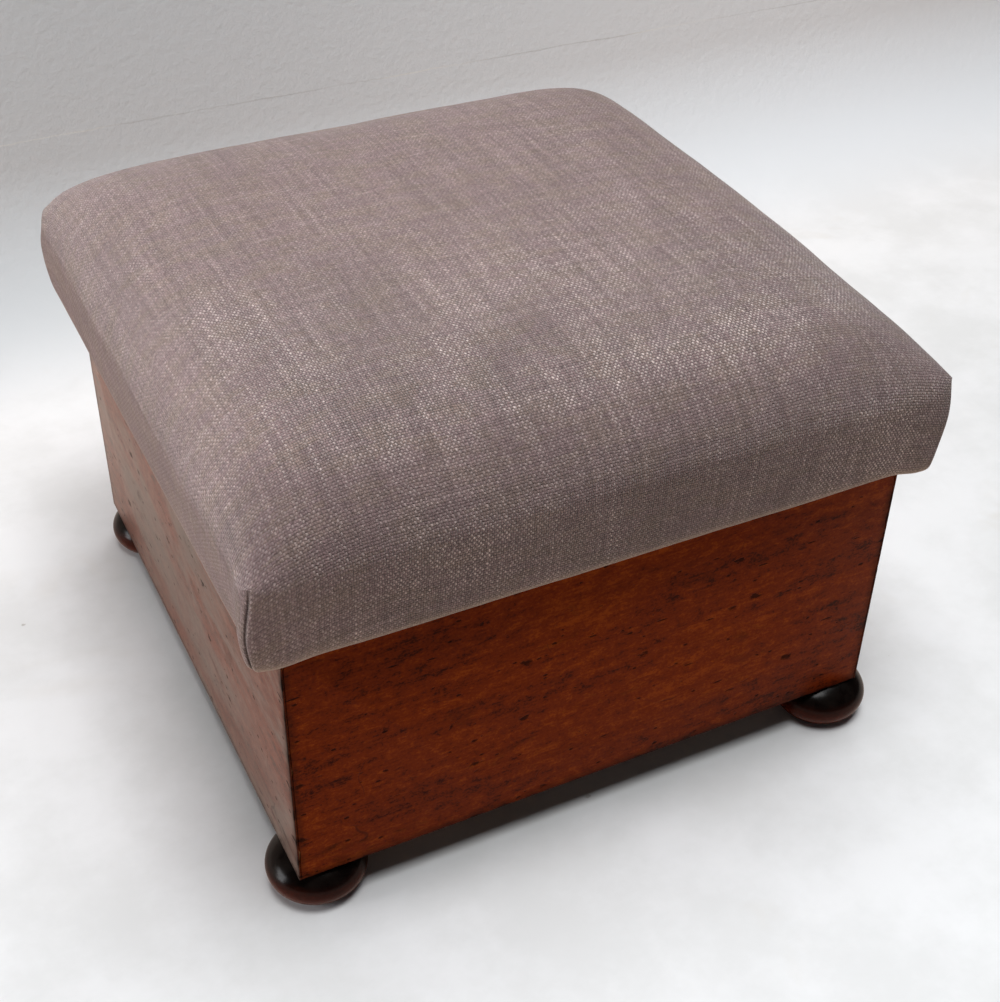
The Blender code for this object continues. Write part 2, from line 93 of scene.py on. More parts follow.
ahead = Vector((sin(CAMERA_HEADING), cos(CAMERA_HEADING), 0))
look = ahead * cos(CAMERA_DOWN) - Vector((0, 0, sin(CAMERA_DOWN)))
level = look.cross(Vector((0, 0, 1))).normalized()
upward = level.cross(look)
right = cos(CAMERA_ROLL) * level + sin(CAMERA_ROLL) * upward
above = cos(CAMERA_ROLL) * upward - sin(CAMERA_ROLL) * level

lens = bpy.data.cameras.new("camera")
lens.sensor_width = SENSOR
lens.lens = FOCAL_PIXELS / IMAGE_HEIGHT * SENSOR
camera = linked("camera", lens)
turn = Matrix((right, above, -look)).transposed().to_4x4()
camera.matrix_world = Matrix.Translation(CAMERA_PLACE) @ turn
bpy.context.scene.camera = camera
print(f"lens {lens.lens:.1f} mm on a {SENSOR:.0f} mm sensor")

# %% [markdown]
# ## A short way to write nodes
#
# Writing each node and link of a material takes three or four lines, which hides the idea. Two small classes
# help. A Value is the output of a node, and each +, -, * or / between values adds one Math node. A Tree adds the
# nodes. With both, a material reads like a formula.


# %% Value helper
def sign(operation):
    """A method that adds a Math node."""
    return lambda self, other=None: self.tree.add("Math", {0: self, 1: other}, operation=operation)


class Value:
    """The output of a node, to count with or to look up a texture at."""

    __add__ = __radd__ = sign("ADD")
    __mul__ = __rmul__ = sign("MULTIPLY")
    __sub__, __truediv__, __pow__, __abs__ = sign("SUBTRACT"), sign("DIVIDE"), sign("POWER"), sign("ABSOLUTE")
    at_least, at_most, ping_pong = sign("MAXIMUM"), sign("MINIMUM"), sign("PINGPONG")
    floor, fraction, sine = sign("FLOOR"), sign("FRACT"), sign("SINE")

    def __init__(self, tree, socket):
        self.tree, self.socket = tree, socket

    def __rsub__(self, other):
        return self.tree.add("Math", {0: other, 1: self}, operation="SUBTRACT")

    def step(self, low, high, start=0, end=1):
        """A smooth step: start below low, end above high."""
        inputs = {"Value": self, "From Min": low, "From Max": high, "To Min": start, "To Max": end}
        return self.tree.add("MapRange", inputs, interpolation_type="SMOOTHSTEP")

    def parts(self):
        return [Value(self.tree, socket) for socket in self.tree.node("SeparateXYZ", {0: self}).outputs]

    def scaled(self, x, y, z):
        return self.tree.add("VectorMath", {0: self, 1: (x, y, z)}, operation="MULTIPLY")

    def noise(self, scale=1, detail=2, roughness=0.5, distortion=0, output=0):
        values = {"Scale": scale, "Detail": detail, "Roughness": roughness, "Distortion": distortion}
        return self.tree.add("TexNoise", {"Vector": self, **values}, output)

    def random(self, output=0):
        return self.tree.add("TexWhiteNoise", {"Vector": self}, output)

    def cells(self, scale, output=0, **settings):
        return self.tree.add("TexVoronoi", {"Vector": self, "Scale": scale}, output, **settings)


print("Value ready")


# %% Tree helper
class Tree:
    """Adds nodes to a node tree. What it works out goes to the results, the sockets of its last node."""

    def __init__(self, tree, results, material=None):
        self.tree, self.results, self.material = tree, results, material

    def node(self, kind, inputs=(), **settings):
        node = self.tree.nodes.new("ShaderNode" + kind)
        for name, value in settings.items():
            setattr(node, name, value)
        for name, value in dict(inputs).items():
            self.feed(node.inputs[name], value)
        return node

    def add(self, kind, inputs=(), output=0, **settings):
        return Value(self, self.node(kind, inputs, **settings).outputs[output])

    def feed(self, socket, value):
        if isinstance(value, Value):
            self.tree.links.new(value.socket, socket)
        elif value is not None:
            socket.default_value = value

    def give(self, **values):
        """Feed the results. Hands back the material, if the tree has one."""
        for name, value in values.items():
            self.feed(self.results[name.replace("_", " ")], value)
        return self.material

    def place(self):
        """Where a point lies, measured with its object."""
        return self.add("TexCoord", output="Object")

    def facing_up(self):
        """1 where a surface faces up, 0 where it is upright, -1 where it faces down."""
        return self.add("NewGeometry", output="Normal").parts()[2]

    def vector(self, x, y, z=0):
        return self.add("CombineXYZ", {"X": x, "Y": y, "Z": z})

    def blend(self, share, first, second, way="MIX"):
        """A mixed colour. Of a Mix node's sockets, 6 and 7 take colours and 2 gives one."""
        return self.add("Mix", {0: share, 6: first, 7: second}, 2, data_type="RGBA", blend_type=way)

    def bump(self, height, distance, strength=1, normal=None):
        inputs = {"Height": height, "Distance": distance, "Strength": strength, "Normal": normal}
        return self.add("Bump", inputs)

    def group(self, helper, **values):
        inputs = {name.replace("_", " "): value for name, value in values.items()}
        node = self.node("Group", inputs, node_tree=helper.tree)
        return {socket.name: Value(self, socket) for socket in node.outputs}


print("Tree ready")


# %% Groups, materials and colours
def new_group(name, outputs, inputs):
    """An empty node group and its inputs. A vector has no value of its own, a colour's is a tuple."""
    tree = bpy.data.node_groups.new(name, "ShaderNodeTree")
    for socket, value in inputs.items():
        kind = "Vector" if value is None else "Color" if isinstance(value, tuple) else "Float"
        made = tree.interface.new_socket(name=socket, in_out="INPUT", socket_type="NodeSocket" + kind)
        if value is not None:
            made.default_value = value
    for socket in outputs:
        kind = "Color" if socket == "Color" else "Float"
        tree.interface.new_socket(name=socket, in_out="OUTPUT", socket_type="NodeSocket" + kind)
    helper = Tree(tree, tree.nodes.new("NodeGroupOutput").inputs)
    return helper, {socket.name: Value(helper, socket) for socket in tree.nodes.new("NodeGroupInput").outputs}


def new_material(name, **fixed):
    """The node tree of a material with a Principled BSDF, whose fixed values are set on its own sockets."""
    material = bpy.data.materials.new(name)
    material.use_nodes = True
    tree = Tree(material.node_tree, material.node_tree.nodes["Principled BSDF"].inputs, material)
    tree.give(**fixed)
    return tree


def seen(red, green, blue):
    """A colour as a screen shows it, from 0 to 255, turned into the linear light that shaders count in."""
    shares = [value / 255 for value in (red, green, blue)]
    linear = [s / 12.92 if s <= 0.04045 else ((s + 0.055) / 1.055) ** 2.4 for s in shares]
    return (*linear, 1)


print("white, as a shader counts it:", seen(255, 255, 255))

# %% [markdown]
# ## Shader group: a plain weave
#
# The cloth is a plain weave of thick, uneven yarns. Light yarns run from front to back, 1.6 mm apart. A darker,
# two-toned yarn runs across, 2 mm apart, so the light yarn shows as staggered dots. A picture of cloth would
# repeat and blur. This group works out for each point which yarn lies on top, and gives each yarn its own
# colour, from the distances along the cloth that the pad's mesh carries.

# %% Weave group
weave_inputs = {
    "Cloth": None,
    "Warp Pitch": 1.58 * MM,
    "Weft Pitch": 1.97 * MM,
    "Light Yarn": seen(226, 207, 202),
    "Ground": seen(130, 109, 109),
    "Second Ground": seen(131, 112, 105),
    "Slubs": 1,
    "Fade": 0,
}
weave, given = new_group("plain weave", ("Color", "Height"), weave_inputs)
cloth, fade = given["Cloth"], given["Fade"]
u, v, _ = cloth.parts()
wobble = (cloth.noise(80) - 0.5) * 1.1 + (cloth.noise(420, 1) - 0.5) * 0.8
warp = u / given["Warp Pitch"] + wobble
weft = v / given["Weft Pitch"] - wobble
warp_number, weft_number = warp.floor(), weft.floor()
chance = weave.vector(warp_number, weft_number).random("Color").parts()
across_warp = (warp + (chance[0] - 0.5) * 0.35).fraction()
warp_on_top = (warp_number + weft_number).ping_pong(1)

round_warp = (across_warp * pi).sine()
round_weft = (weft.fraction() * pi).sine()
hill = round_warp * round_weft**0.6 * warp_on_top + round_weft * round_warp**0.4 * (1 - warp_on_top)

# Broad areas where the pale warp stands out, and others where the fuzz has closed over it
area = weave.vector(u * 11, v * 8, 5).noise(1, 3, 0.6).step(0.34, 0.66) * (1 - fade)

# A warp yarn is paler or darker along its own length, and here and there swells into a slub
warp_tone = weave.vector(warp_number * 7.31, v * 24, 3).noise().step(0.3, 0.7)
slub = weave.vector(warp_number * 3.77, v * 7, 9).noise(1, 1).step(0.56, 0.74) * given["Slubs"]
slub = slub * (1 - fade * 0.85)
weft_slub = weave.vector(u * 26, weft_number * 5.13, 6).noise().step(0.55, 0.80) * given["Slubs"]

# The ground yarn changes between mauve and olive in short lengths, which gives ragged plaid patches
weft_shift = weave.vector(weft_number, 4).random() * 0.5
patch = weave.vector(u * 40 + weft_shift, v * 60, 1).noise(1, 3, 0.6).step(0.42, 0.62)
ground = weave.blend(patch, given["Ground"], given["Second Ground"])
ground = weave.blend(weft_slub * 0.16, ground, given["Light Yarn"])
band = weave.vector(u * 20, v * 170, 8).noise().step(0.3, 0.7, 0.92, 1.08)
column = weave.vector(u * 260, v * 7, 2).noise().step(0.3, 0.7, 0.89, 1.12)

paleness = (chance[1] ** 1.6 * 0.54 + warp_tone * 0.28) * (0.32 + area * 0.98) + slub * 0.42
yarns = weave.blend(warp_on_top, ground, weave.blend(paleness, ground, given["Light Yarn"]))

# Fibres stand out of every yarn, so the tone breaks up at the scale of the yarns and finer
fuzz = cloth.scaled(460, 460, 1).noise(1, 3, 0.7) - 0.5
# Low between the yarns the colour is darkened: painted shade in the crevices, weaker where Fade is high.
crevice_shade = hill.step(0, 0.8, 0.42 + fade * 0.38, 1.10)
shade = crevice_shade * (band * column) * (1 + fuzz * 1.7).at_least(0.35)
relief = hill * (0.7 + (chance[1] + slub) * 0.4) * (0.45 + (1 - fade) * 0.55)
colour = weave.blend(1, yarns, weave.vector(shade, shade, shade), "MULTIPLY")
weave.give(Color=colour, Height=relief + fuzz * 0.8)
print("weave group:", len(weave.tree.nodes), "nodes")

# %% [markdown]
# ## Shader group: figured wood
#
# Old mahogany veneer has a broad cloudy figure, fine streaks along the grain, short dark pores, and here also
# pits, stains and scratches from long use. Each is a noise stretched along the grain.

# %% Wood group
wood_inputs = {
    "Grain": None,
    "Bright": seen(150, 67, 14),
    "Main": seen(118, 43, 8),
    "Dark": seen(56, 19, 7),
    "Pit": seen(22, 10, 7),
    "Pale": seen(120, 121, 115),
    "Bleach": 0,
    "Figure": 1,
    "Marks": 1,
}
wood, given = new_group("figured wood", ("Color", "Height", "Matt"), wood_inputs)
grain, figure, marked = given["Grain"], given["Figure"], given["Marks"]


def grain_noise(along, up, detail=3, roughness=0.6, distortion=0):
    """Noise centred on zero, so many per metre along the grain and so many per metre up."""
    return grain.scaled(along, along, up).noise(1, detail, roughness, distortion) - 0.5


def marks_of(along, up, rarest, largest, ragged):
    """Scattered marks: the cells of a Voronoi texture, of which few are marked, each with its own size."""
    place = grain.scaled(along, along, up)
    lot = place.cells(1, "Color").parts()
    size = lot[0].step(rarest, 1) * (0.1 + lot[1] * largest)
    rough = grain_noise(along * 4, up * 4) * ragged
    return (place.cells(1) + rough - size).step(0.02, -0.14) * marked


cloud = grain_noise(6, 15, 4, 0.55, 0.8) * figure
band = grain_noise(7, 75, 4, 0.65, 0.5)
streak = grain_noise(38, 520, 4, 0.65)
mottle = grain_noise(75, 130, 4, 0.7, 0.4) * figure
grit = grain_noise(420, 560, 3, 0.7)
tone = 0.5 + cloud * 1.5 + band + streak * 0.7 + mottle * 1.8 + grit * 1.4
# Where Reflection is given, a pale painted reflection is laid over the wood in mottled patches.
reflection = (cloud + mottle * 0.3).step(-0.14, 0.14, 0.30, 1) * given["Bleach"]

smoke = (grain_noise(13, 34, 5, 0.68, 0.6) + mottle * 0.35).step(0.07, 0.28) * marked
pore = grain_noise(190, 1100, 2).step(0.12, 0.26)
pit = marks_of(55, 110, 0.80, 0.26, 0.75)
pit = pit.at_least(marks_of(170, 330, 0.80, 0.36, 0.6))
pit = pit.at_least(marks_of(75, 460, 0.92, 0.36, 0.5))

# A scratch is the edge between two wide cells, bent by noise and shown only here and there
bend = grain.noise(14, output="Color").scaled(0.12, 0.12, 0.12)
bent = wood.add("VectorMath", {0: grain, 1: bend}, operation="ADD")
scratch = bent.cells(13, feature="DISTANCE_TO_EDGE").step(0.011, 0.003)
scratch = scratch * grain.noise(30, 1).step(0.58, 0.66) * marked

body = given["Main"]
for share, colour in (
    (tone.step(0.45, 1.1), "Bright"),
    (tone.step(0.5, -0.1), "Dark"),
    (reflection, "Pale"),
    (smoke * 0.70, "Pit"),
    (pore * 0.45, "Dark"),
    (scratch * 0.45, "Pit"),
    (pit * 0.78, "Pit"),
):
    body = wood.blend(share, body, given[colour])
wood.give(
    Color=body,
    Height=(streak + mottle) * 0.15 - (pore * 0.15 + pit * 0.8 + scratch * 0.35),
    Matt=(smoke * 0.6 + pit + cloud * 2.5).step(-0.6, 1.3),
)
print("wood group:", len(wood.tree.nodes), "nodes")

# %% [markdown]
# ## Shader group: dust and dirt
#
# Dust settles where a surface faces up, thicker in some places than in others. A mask that grows with the
# surface's upward tilt, broken up by noise, is enough.

# %% Dust group
dust, given = new_group("settled dust", ["Mask"], {"Amount": 0.3, "Patch Size": 30})
patches = dust.add("NewGeometry", output="Position").noise(given["Patch Size"], 3).step(0.35, 0.65)
dust.give(Mask=dust.facing_up().step(0.1, 0.95) * patches * given["Amount"])
print("dust group:", len(dust.tree.nodes), "nodes")

# %% [markdown]
# ## Cloth, wood and metal as materials
#
# Each material places a group with its own values and joins it to a Principled BSDF. Values that are the same
# all over, such as the sheen, are set on the shader.


# %% Cloth material
def woven_cloth():
    """The seat's cloth. Its mesh carries the distances along the threads, and masks for painted shade in the
    seams and over the front roll and for a painted highlight along the turned lower edge.
    """
    tree = new_material(
        "woven_cloth", Roughness=0.95, Sheen_Weight=0.36, Sheen_Roughness=0.5, Specular_IOR_Level=0.08
    )
    threads = tree.add("UVMap", uv_map="threads")
    seam, hem_highlight, closed = (
        tree.add("Attribute", output="Fac", attribute_name=name) for name in ("seam", "hem_highlight", "closed")
    )
    across, along, _ = threads.parts()
    # Fade lowers the weave's contrast and lightens its crevices over the back, the left side and the front roll:
    # painted light, following how the light falls across the yarns. The noise only wobbles the edge of this
    # painted light.
    rubbed = threads.scaled(4, 4, 1).noise() - 0.5
    fade = (along + rubbed * 0.25).step(-0.19, 0.06).at_least(across.step(-0.15, -0.25))
    fade = (fade * 0.85).at_least(closed * 0.6)
    cloth = tree.group(weave, Cloth=threads, Fade=fade)
    worn = threads.scaled(700, 700, 1).noise()
    # A painted highlight along the turned lower edge, broken up by noise.
    colour = tree.blend(hem_highlight * worn.step(0.3, 0.6, 0.35, 0.8), cloth["Color"], seen(205, 184, 166))
    # Painted shade over the front roll, where the cloth turns down toward the front.
    colour = tree.blend(closed * 0.34, colour, seen(70, 54, 55))
    # Painted shade in the seam's crease, with a little dirt, broken up by noise.
    colour = tree.blend(seam * worn.step(0.3, 0.7, 0.35, 0.65), colour, seen(50, 38, 36))
    return tree.give(Base_Color=colour, Normal=tree.bump(cloth["Height"], 0.7 * MM))


cloth_finish = woven_cloth()
print("cloth:", cloth_finish.name)

# %% Wood materials
SIDE_WALL_INSIDE = 213.5 * MM
LEVEL_ENOUGH = 0.7  # a face whose normal rises more than this counts as level


def around_the_box(tree):
    """Coordinates along and across the grain.

    On upright faces the grain runs level round the box. On level faces it runs from side to side, but along the
    side walls on their own edges.
    """
    x, y, z = tree.place().parts()
    on_side_wall = abs(x).step(SIDE_WALL_INSIDE, SIDE_WALL_INSIDE + 0.5 * MM)
    level = tree.blend(on_side_wall, tree.vector(x, 0, y), tree.vector(y, 0, x))
    is_level = abs(tree.facing_up()).step(LEVEL_ENOUGH, LEVEL_ENOUGH + 0.01)
    return tree.blend(is_level, tree.vector(x + y, 0, z), level)


def mahogany_veneer():
    """Worn polish over red-brown veneer, darker with old dirt along the edges.

    On the left side a pale painted reflection lies over the wood in mottled patches, and on the front the polish
    is rubbed thin.
    """
    tree = new_material(
        "mahogany_veneer", Specular_IOR_Level=0.02, Coat_IOR=1.10, Coat_Roughness=0.22
    )
    place = tree.place()
    x, y, z = place.parts()
    on_left, on_front = (part.step(1 * MM - BOX_HALF, 0.3 * MM - BOX_HALF) for part in (x, y))
    # On the left side the wood gets a painted reflection, pale in mottled patches.
    grain = tree.group(wood, Grain=around_the_box(tree), Bleach=on_left * 0.74)
    to_edge = (BOX_HALF - abs(x).at_most(abs(y))).at_most(z - BOX_BOTTOM)
    to_edge = to_edge + (place.noise(90, 3, 0.6) - 0.5) * (9 * MM)
    grime = to_edge.step(9 * MM, 0.5 * MM) * 0.55
    colour = tree.blend(grime, grain["Color"], seen(34, 15, 10))
    joint = to_edge.step(2 * MM, -1.2 * MM)
    dull = grain["Matt"] * 0.22 + grime * 0.15
    polish = 0.95 - (on_front * 0.55 + on_left * 0.3)
    rippled = tree.bump(place.noise(26), 1.2 * MM, 0.35)
    return tree.give(
        Base_Color=tree.blend(joint * 0.88, colour, seen(14, 7, 5)),
        Roughness=0.27 + dull,
        Coat_Weight=polish - dull * 2,
        Normal=tree.bump(grain["Height"], 0.35 * MM, 0.8, rippled),
    )


def bare_pine():
    """Old unfinished pine: yellow-brown with strong streaks and a little dust. Its downward faces at the bottom
    are painted nearly black, as painted shade that deepens the shadow under the box.
    """
    tree = new_material("bare_pine", Specular_IOR_Level=0.3)
    yellows = {"Bright": seen(190, 148, 98), "Main": seen(168, 122, 76), "Dark": seen(128, 84, 48)}
    grain = tree.group(wood, Grain=around_the_box(tree), Pit=seen(70, 44, 28), Marks=0.5, Figure=0.8, **yellows)
    dusty = tree.group(dust, Amount=0.35, Patch_Size=22)
    colour = tree.blend(dusty["Mask"], grain["Color"], seen(165, 155, 142))
    # Painted shade: the base's downward faces are nearly black, so that little light bounces under the box.
    shade_underneath = tree.place().parts()[2].step(BOX_BOTTOM + 22 * MM, BOX_BOTTOM + 18 * MM)
    shade_underneath = shade_underneath * tree.facing_up().step(-0.5, -0.9)
    return tree.give(
        Base_Color=tree.blend(shade_underneath * 0.8, colour, seen(44, 30, 22)),
        Roughness=0.62 + grain["Matt"] * 0.2,
        Normal=tree.bump(grain["Height"], 0.3 * MM, 0.8),
    )


mahogany_finish = mahogany_veneer()
pine_finish = bare_pine()
print("wood:", mahogany_finish.name, pine_finish.name)


# %% Foot and metal materials
def dark_turning():
    """Nearly black polished turning, red-brown low down and on the belly."""
    tree = new_material("dark_turning", Specular_IOR_Level=0.12)
    place = tree.place()
    worn = place.scaled(60, 60, 160).noise(1, 3, 0.6)
    low = (place.parts()[2] + (worn - 0.5) * (8 * MM)).step(27 * MM, 10 * MM)
    grain = place.scaled(40, 420, 420).noise(1, 3, 0.6)
    dark = tree.blend(grain, seen(4, 3, 3), seen(16, 8, 6))
    red = tree.blend(grain, seen(62, 18, 9), seen(108, 38, 18))
    dusty = tree.group(dust, Amount=0.02, Patch_Size=60)
    return tree.give(
        Base_Color=tree.blend(dusty["Mask"], tree.blend(low * 0.75, dark, red), seen(150, 140, 130)),
        Roughness=worn.step(0.3, 0.8, 0.19, 0.25),
        Normal=tree.bump(grain, 0.05 * MM, 0.4),
    )


def aged_metal(name, bright, dull, least_rough):
    """A metal with a cloudy tarnish, duller and rougher where it is thick, and a little bumpy all over."""
    tree = new_material(name, Metallic=1)
    place = tree.place()
    cloud = place.noise(180, 5, 0.65, 0.4).step(0.35, 0.65)
    return tree.give(
        Base_Color=tree.blend(cloud, bright, dull),
        Roughness=least_rough + cloud * 0.25,
        Normal=tree.bump(place.noise(900, 3), 0.08 * MM, 0.6),
    )


foot_finish = dark_turning()
brass_finish = aged_metal("aged_brass", seen(214, 176, 104), seen(120, 92, 50), 0.28)
steel_finish = aged_metal("dull_steel", seen(172, 168, 160), seen(92, 84, 76), 0.34)
tack_finish = aged_metal("blued_tack", seen(70, 70, 76), seen(40, 34, 32), 0.30)
print("turning and metal:", foot_finish.name, brass_finish.name, steel_finish.name, tack_finish.name)


# %% Lining material
def black_lining():
    """Thin black cotton, greyed by age and lint, woven so finely that only a soft grid shows."""
    tree = new_material("black_lining", Roughness=0.9, Sheen_Weight=0.3, Specular_IOR_Level=0.2)
    place = tree.place()
    greys = {"Light_Yarn": seen(66, 64, 66), "Ground": seen(42, 41, 43), "Second_Ground": seen(52, 49, 47)}
    cloth = tree.group(weave, Cloth=place, Warp_Pitch=0.8 * MM, Weft_Pitch=0.8 * MM, Slubs=0.4, **greys)
    lint = place.noise(40, 4, 0.7).step(0.5, 0.8) * 0.3
    colour = tree.blend(lint, cloth["Color"], seen(104, 98, 92))
    return tree.give(Base_Color=colour, Normal=tree.bump(cloth["Height"], 0.15 * MM, 0.7))


lining_finish = black_lining()
print("lining:", lining_finish.name)


# %% Helpers that place a mesh
def mesh_of(shape, name, smooth_angle=None):
    """A bmesh as a mesh. With an angle, it is shaded smooth, and only edges beyond the angle stay sharp."""
    mesh = bpy.data.meshes.new(name)
    shape.to_mesh(mesh)
    shape.free()
    if smooth_angle:
        mesh.shade_smooth()
        mesh.set_sharp_from_angle(angle=smooth_angle)
    return mesh


def mesh_from(name, places, faces):
    """A smooth mesh from places and faces."""
    mesh = bpy.data.meshes.new(name)
    mesh.from_pydata(places, [], faces)
    mesh.shade_smooth()
    return mesh


def new_piece(name, mesh, material, body):
    """Link a mesh as a piece that rides on a body and takes its finish from a slot."""
    mesh.materials.clear()
    mesh.materials.append(material)
    piece = linked(name, mesh)
    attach(piece, body)
    return piece


def applied(piece):
    """Turn a piece's modifiers into its mesh."""
    bpy.context.view_layer.update()
    graph = bpy.context.evaluated_depsgraph_get()
    finished = bpy.data.meshes.new_from_object(piece.evaluated_get(graph), depsgraph=graph)
    piece.modifiers.clear()
    piece.data = finished
    return piece


def lathe(profile, sides, smooth_angle=radians(35)):
    """A mesh turned about Z from (radius, height) points, closed at both ends."""
    shape = bmesh.new()
    turns = [2 * pi * i / sides for i in range(sides)]
    rings = [[shape.verts.new((radius * cos(a), radius * sin(a), up)) for a in turns] for radius, up in profile]
    for lower, upper in zip(rings, rings[1:]):
        for i in range(sides):
            j = (i + 1) % sides
            shape.faces.new((lower[i], lower[j], upper[j], upper[i]))
    shape.faces.new(rings[0][::-1])
    shape.faces.new(rings[-1])
    bmesh.ops.recalc_face_normals(shape, faces=shape.faces)
    return mesh_of(shape, "lathe", smooth_angle)


def ease(value, low, high):
    """0 at low, 1 at high, and smooth between. Low may be the larger, for a step that falls."""
    share = min(max((value - low) / (high - low), 0), 1)
    return share * share * (3 - 2 * share)


print("placing helpers ready")

# %% [markdown]
# ## The upholstered pad
#
# One piece of cloth is pulled over foam and wadding, sewn into a short upright seam at each corner, turned under
# the lid and tacked. A rounded block would have no cloth directions. So the mesh is made like a folded carton: a
# top, four sides and a bottom, each a grid whose lines follow the threads, joined exactly where the seams are.

# %% Shape of the pad
PUFF = 0.4 * MM  # the mesh starts this much smaller, because the simulation swells it
SIDE_RISE = 66 * MM
WIDEST_LEVEL = PAD_BOTTOM + SIDE_RISE
CROWN = PAD_TOP - WIDEST_LEVEL
CROWN_FLATNESS = 6.5
CROWN_ROLL = 1.64
CORNER_FULLNESS = 0.5  # how far the crown fills its corners
CORNER_RADIUS = 14 * MM
DRAW_IN, DRAW_IN_POWER = 3.5 * MM, 1.5
LOWER_ROLL = 8 * MM
THREAD_CELL = 7.5 * MM  # the mesh's usual spacing
SEAM_CELLS = np.array([0, 0.7, 1.5, 2.5, 3.8, 5.6, 8.2, 12]) * MM  # closer spacing beside a seam
CLOTH_HALF = PAD_HALF - PUFF
OUTLINE_HALF = CLOTH_HALF - CORNER_RADIUS + CORNER_RADIUS * pi / 4  # from a side's middle round to its seam


def crown_height(x, y):
    """Height of the crowned top over the widest level."""
    falls = [1 - min(abs(place) / CLOTH_HALF, 1) ** CROWN_FLATNESS for place in (x, y)]
    if min(falls) < 1e-6:
        return 0
    rise = (sum(fall**-CORNER_FULLNESS for fall in falls) - 1) ** (-1 / CORNER_FULLNESS)
    return (CROWN - PUFF) * rise ** (1 / CROWN_ROLL)


def stations():
    """Shares from -1 to 1 for the grid's lines, evenly spaced along the crowned middle line of the cloth."""
    shares = np.linspace(0, 1, 2001)
    points = np.array([(CLOTH_HALF * s, crown_height(CLOTH_HALF * s, 0)) for s in shares])
    lengths = np.concatenate(([0], np.cumsum(np.linalg.norm(np.diff(points, axis=0), axis=1))))
    free = lengths[-1] - SEAM_CELLS[-1]
    inner = np.linspace(0, free, round(free / THREAD_CELL) + 1)[:-1]
    wanted = np.concatenate((inner, lengths[-1] - SEAM_CELLS[::-1]))
    half = np.interp(wanted, lengths, shares)
    return np.concatenate((-half[:0:-1], half))


STATIONS = stations()
COUNT = len(STATIONS) - 1
print(f"pad grid: {COUNT} x {COUNT} cells on the top")


# %% Rings and levels of the pad
def rim_point(along, inset):
    """A point on the pad's outline, from the middle of one rounded corner (-1) to the next (1), facing -Y."""
    reach = CLOTH_HALF - CORNER_RADIUS
    distance = abs(along) * OUTLINE_HALF
    side = 1 if along > 0 else -1
    if distance <= reach:
        return Vector((side * distance * (CLOTH_HALF - inset) / CLOTH_HALF, -(CLOTH_HALF - inset)))
    angle = (distance - reach) / CORNER_RADIUS
    shrink = (CLOTH_HALF - inset) / CLOTH_HALF
    return Vector((side * (reach + CORNER_RADIUS * sin(angle)), -(reach + CORNER_RADIUS * cos(angle)))) * shrink


turns = [pi / 8 * step for step in range(4)]
shares = np.linspace(0, 1, round((SIDE_RISE - LOWER_ROLL) / THREAD_CELL) + 1)
# (inset, rise) from the start of the lower roll up to the widest line
LEVELS = [(DRAW_IN + LOWER_ROLL * (1 - sin(a)), LOWER_ROLL * (1 - cos(a))) for a in turns]
LEVELS += [(DRAW_IN * (1 - s) ** DRAW_IN_POWER, LOWER_ROLL + (SIDE_RISE - LOWER_ROLL) * s) for s in shares]
LAST = len(LEVELS) - 1


def plan_point(a, b, inset):
    """Plan place of a grid point on the top or bottom, whose lines are smaller and smaller outlines."""
    share = max(abs(a), abs(b))
    if share < 1e-9:
        return Vector((0, 0))
    if abs(b) >= abs(a):
        quarters, along = (0, a / share) if b < 0 else (2, -a / share)
    else:
        quarters, along = (1, b / share) if a > 0 else (3, -b / share)
    point = rim_point(along, inset)
    for _ in range(quarters):
        point = Vector((-point.y, point.x))
    return point * share


def pad_place(i, j, k):
    """Where the grid point in column i, row j and level k lies."""
    inset, rise = LEVELS[k]
    plan = plan_point(STATIONS[i], STATIONS[j], 0)
    crown = crown_height(plan.x, plan.y)
    plan = plan_point(STATIONS[i], STATIONS[j], inset)
    return Vector((plan.x, plan.y, PAD_BOTTOM + rise + crown * (rise / SIDE_RISE) ** 3))


print("levels on the side:", len(LEVELS))


# %% Mesh of the pad
def pad_mesh():
    """The pad's grid, as six panels that share the vertices along their common edges."""
    number, places = {}, []

    def corner(i, j, k):
        if (i, j, k) not in number:
            number[i, j, k] = len(places)
            places.append(pad_place(i, j, k))
        return number[i, j, k]

    faces, panels = [], []

    def panel(name, height, key):
        for c in range(COUNT):
            for r in range(height):
                faces.append([corner(*key(c + u, r + v)) for u, v in ((0, 0), (1, 0), (1, 1), (0, 1))])
                panels.append(name)

    panel("top", COUNT, lambda c, r: (c, r, LAST))
    panel("bottom", COUNT, lambda c, r: (COUNT - c, r, 0))
    panel("front", LAST, lambda c, r: (c, 0, r))
    panel("right", LAST, lambda c, r: (COUNT, c, r))
    panel("back", LAST, lambda c, r: (COUNT - c, COUNT, r))
    panel("left", LAST, lambda c, r: (0, COUNT - c, r))
    return mesh_from("seat_pad", places, faces), number, panels


pad_shape, pad_numbers, pad_panels = pad_mesh()
pad = new_piece("seat_pad", pad_shape, cloth_finish, "lid")
print("pad:", len(pad_shape.vertices), "points,", len(pad_shape.polygons), "faces")

# %% [markdown]
# ## Swelling the pad with a cloth simulation
#
# Blender's Cloth with a little pressure inside pushes the cover out as foam does. The seams, the bottom and the
# lower roll are pinned. The result is applied with its moves kept below 2.5 mm, so the pad stays in its space.

# %% Simulate
LARGEST_MOVE = 2.5 * MM
SWELL_FRAMES = 20
CLOTH_SETTINGS = {
    "quality": 8,
    "mass": 0.4,
    "tension_stiffness": 120,
    "compression_stiffness": 120,
    "shear_stiffness": 60,
    "bending_stiffness": 40,
    "use_pressure": True,
    "uniform_pressure_force": 4,
    "vertex_group_mass": "held",
}


def points_of(mesh):
    """A mesh's vertex places as an array."""
    places = np.empty(len(mesh.vertices) * 3)
    mesh.vertices.foreach_get("co", places)
    return places.reshape(-1, 3)


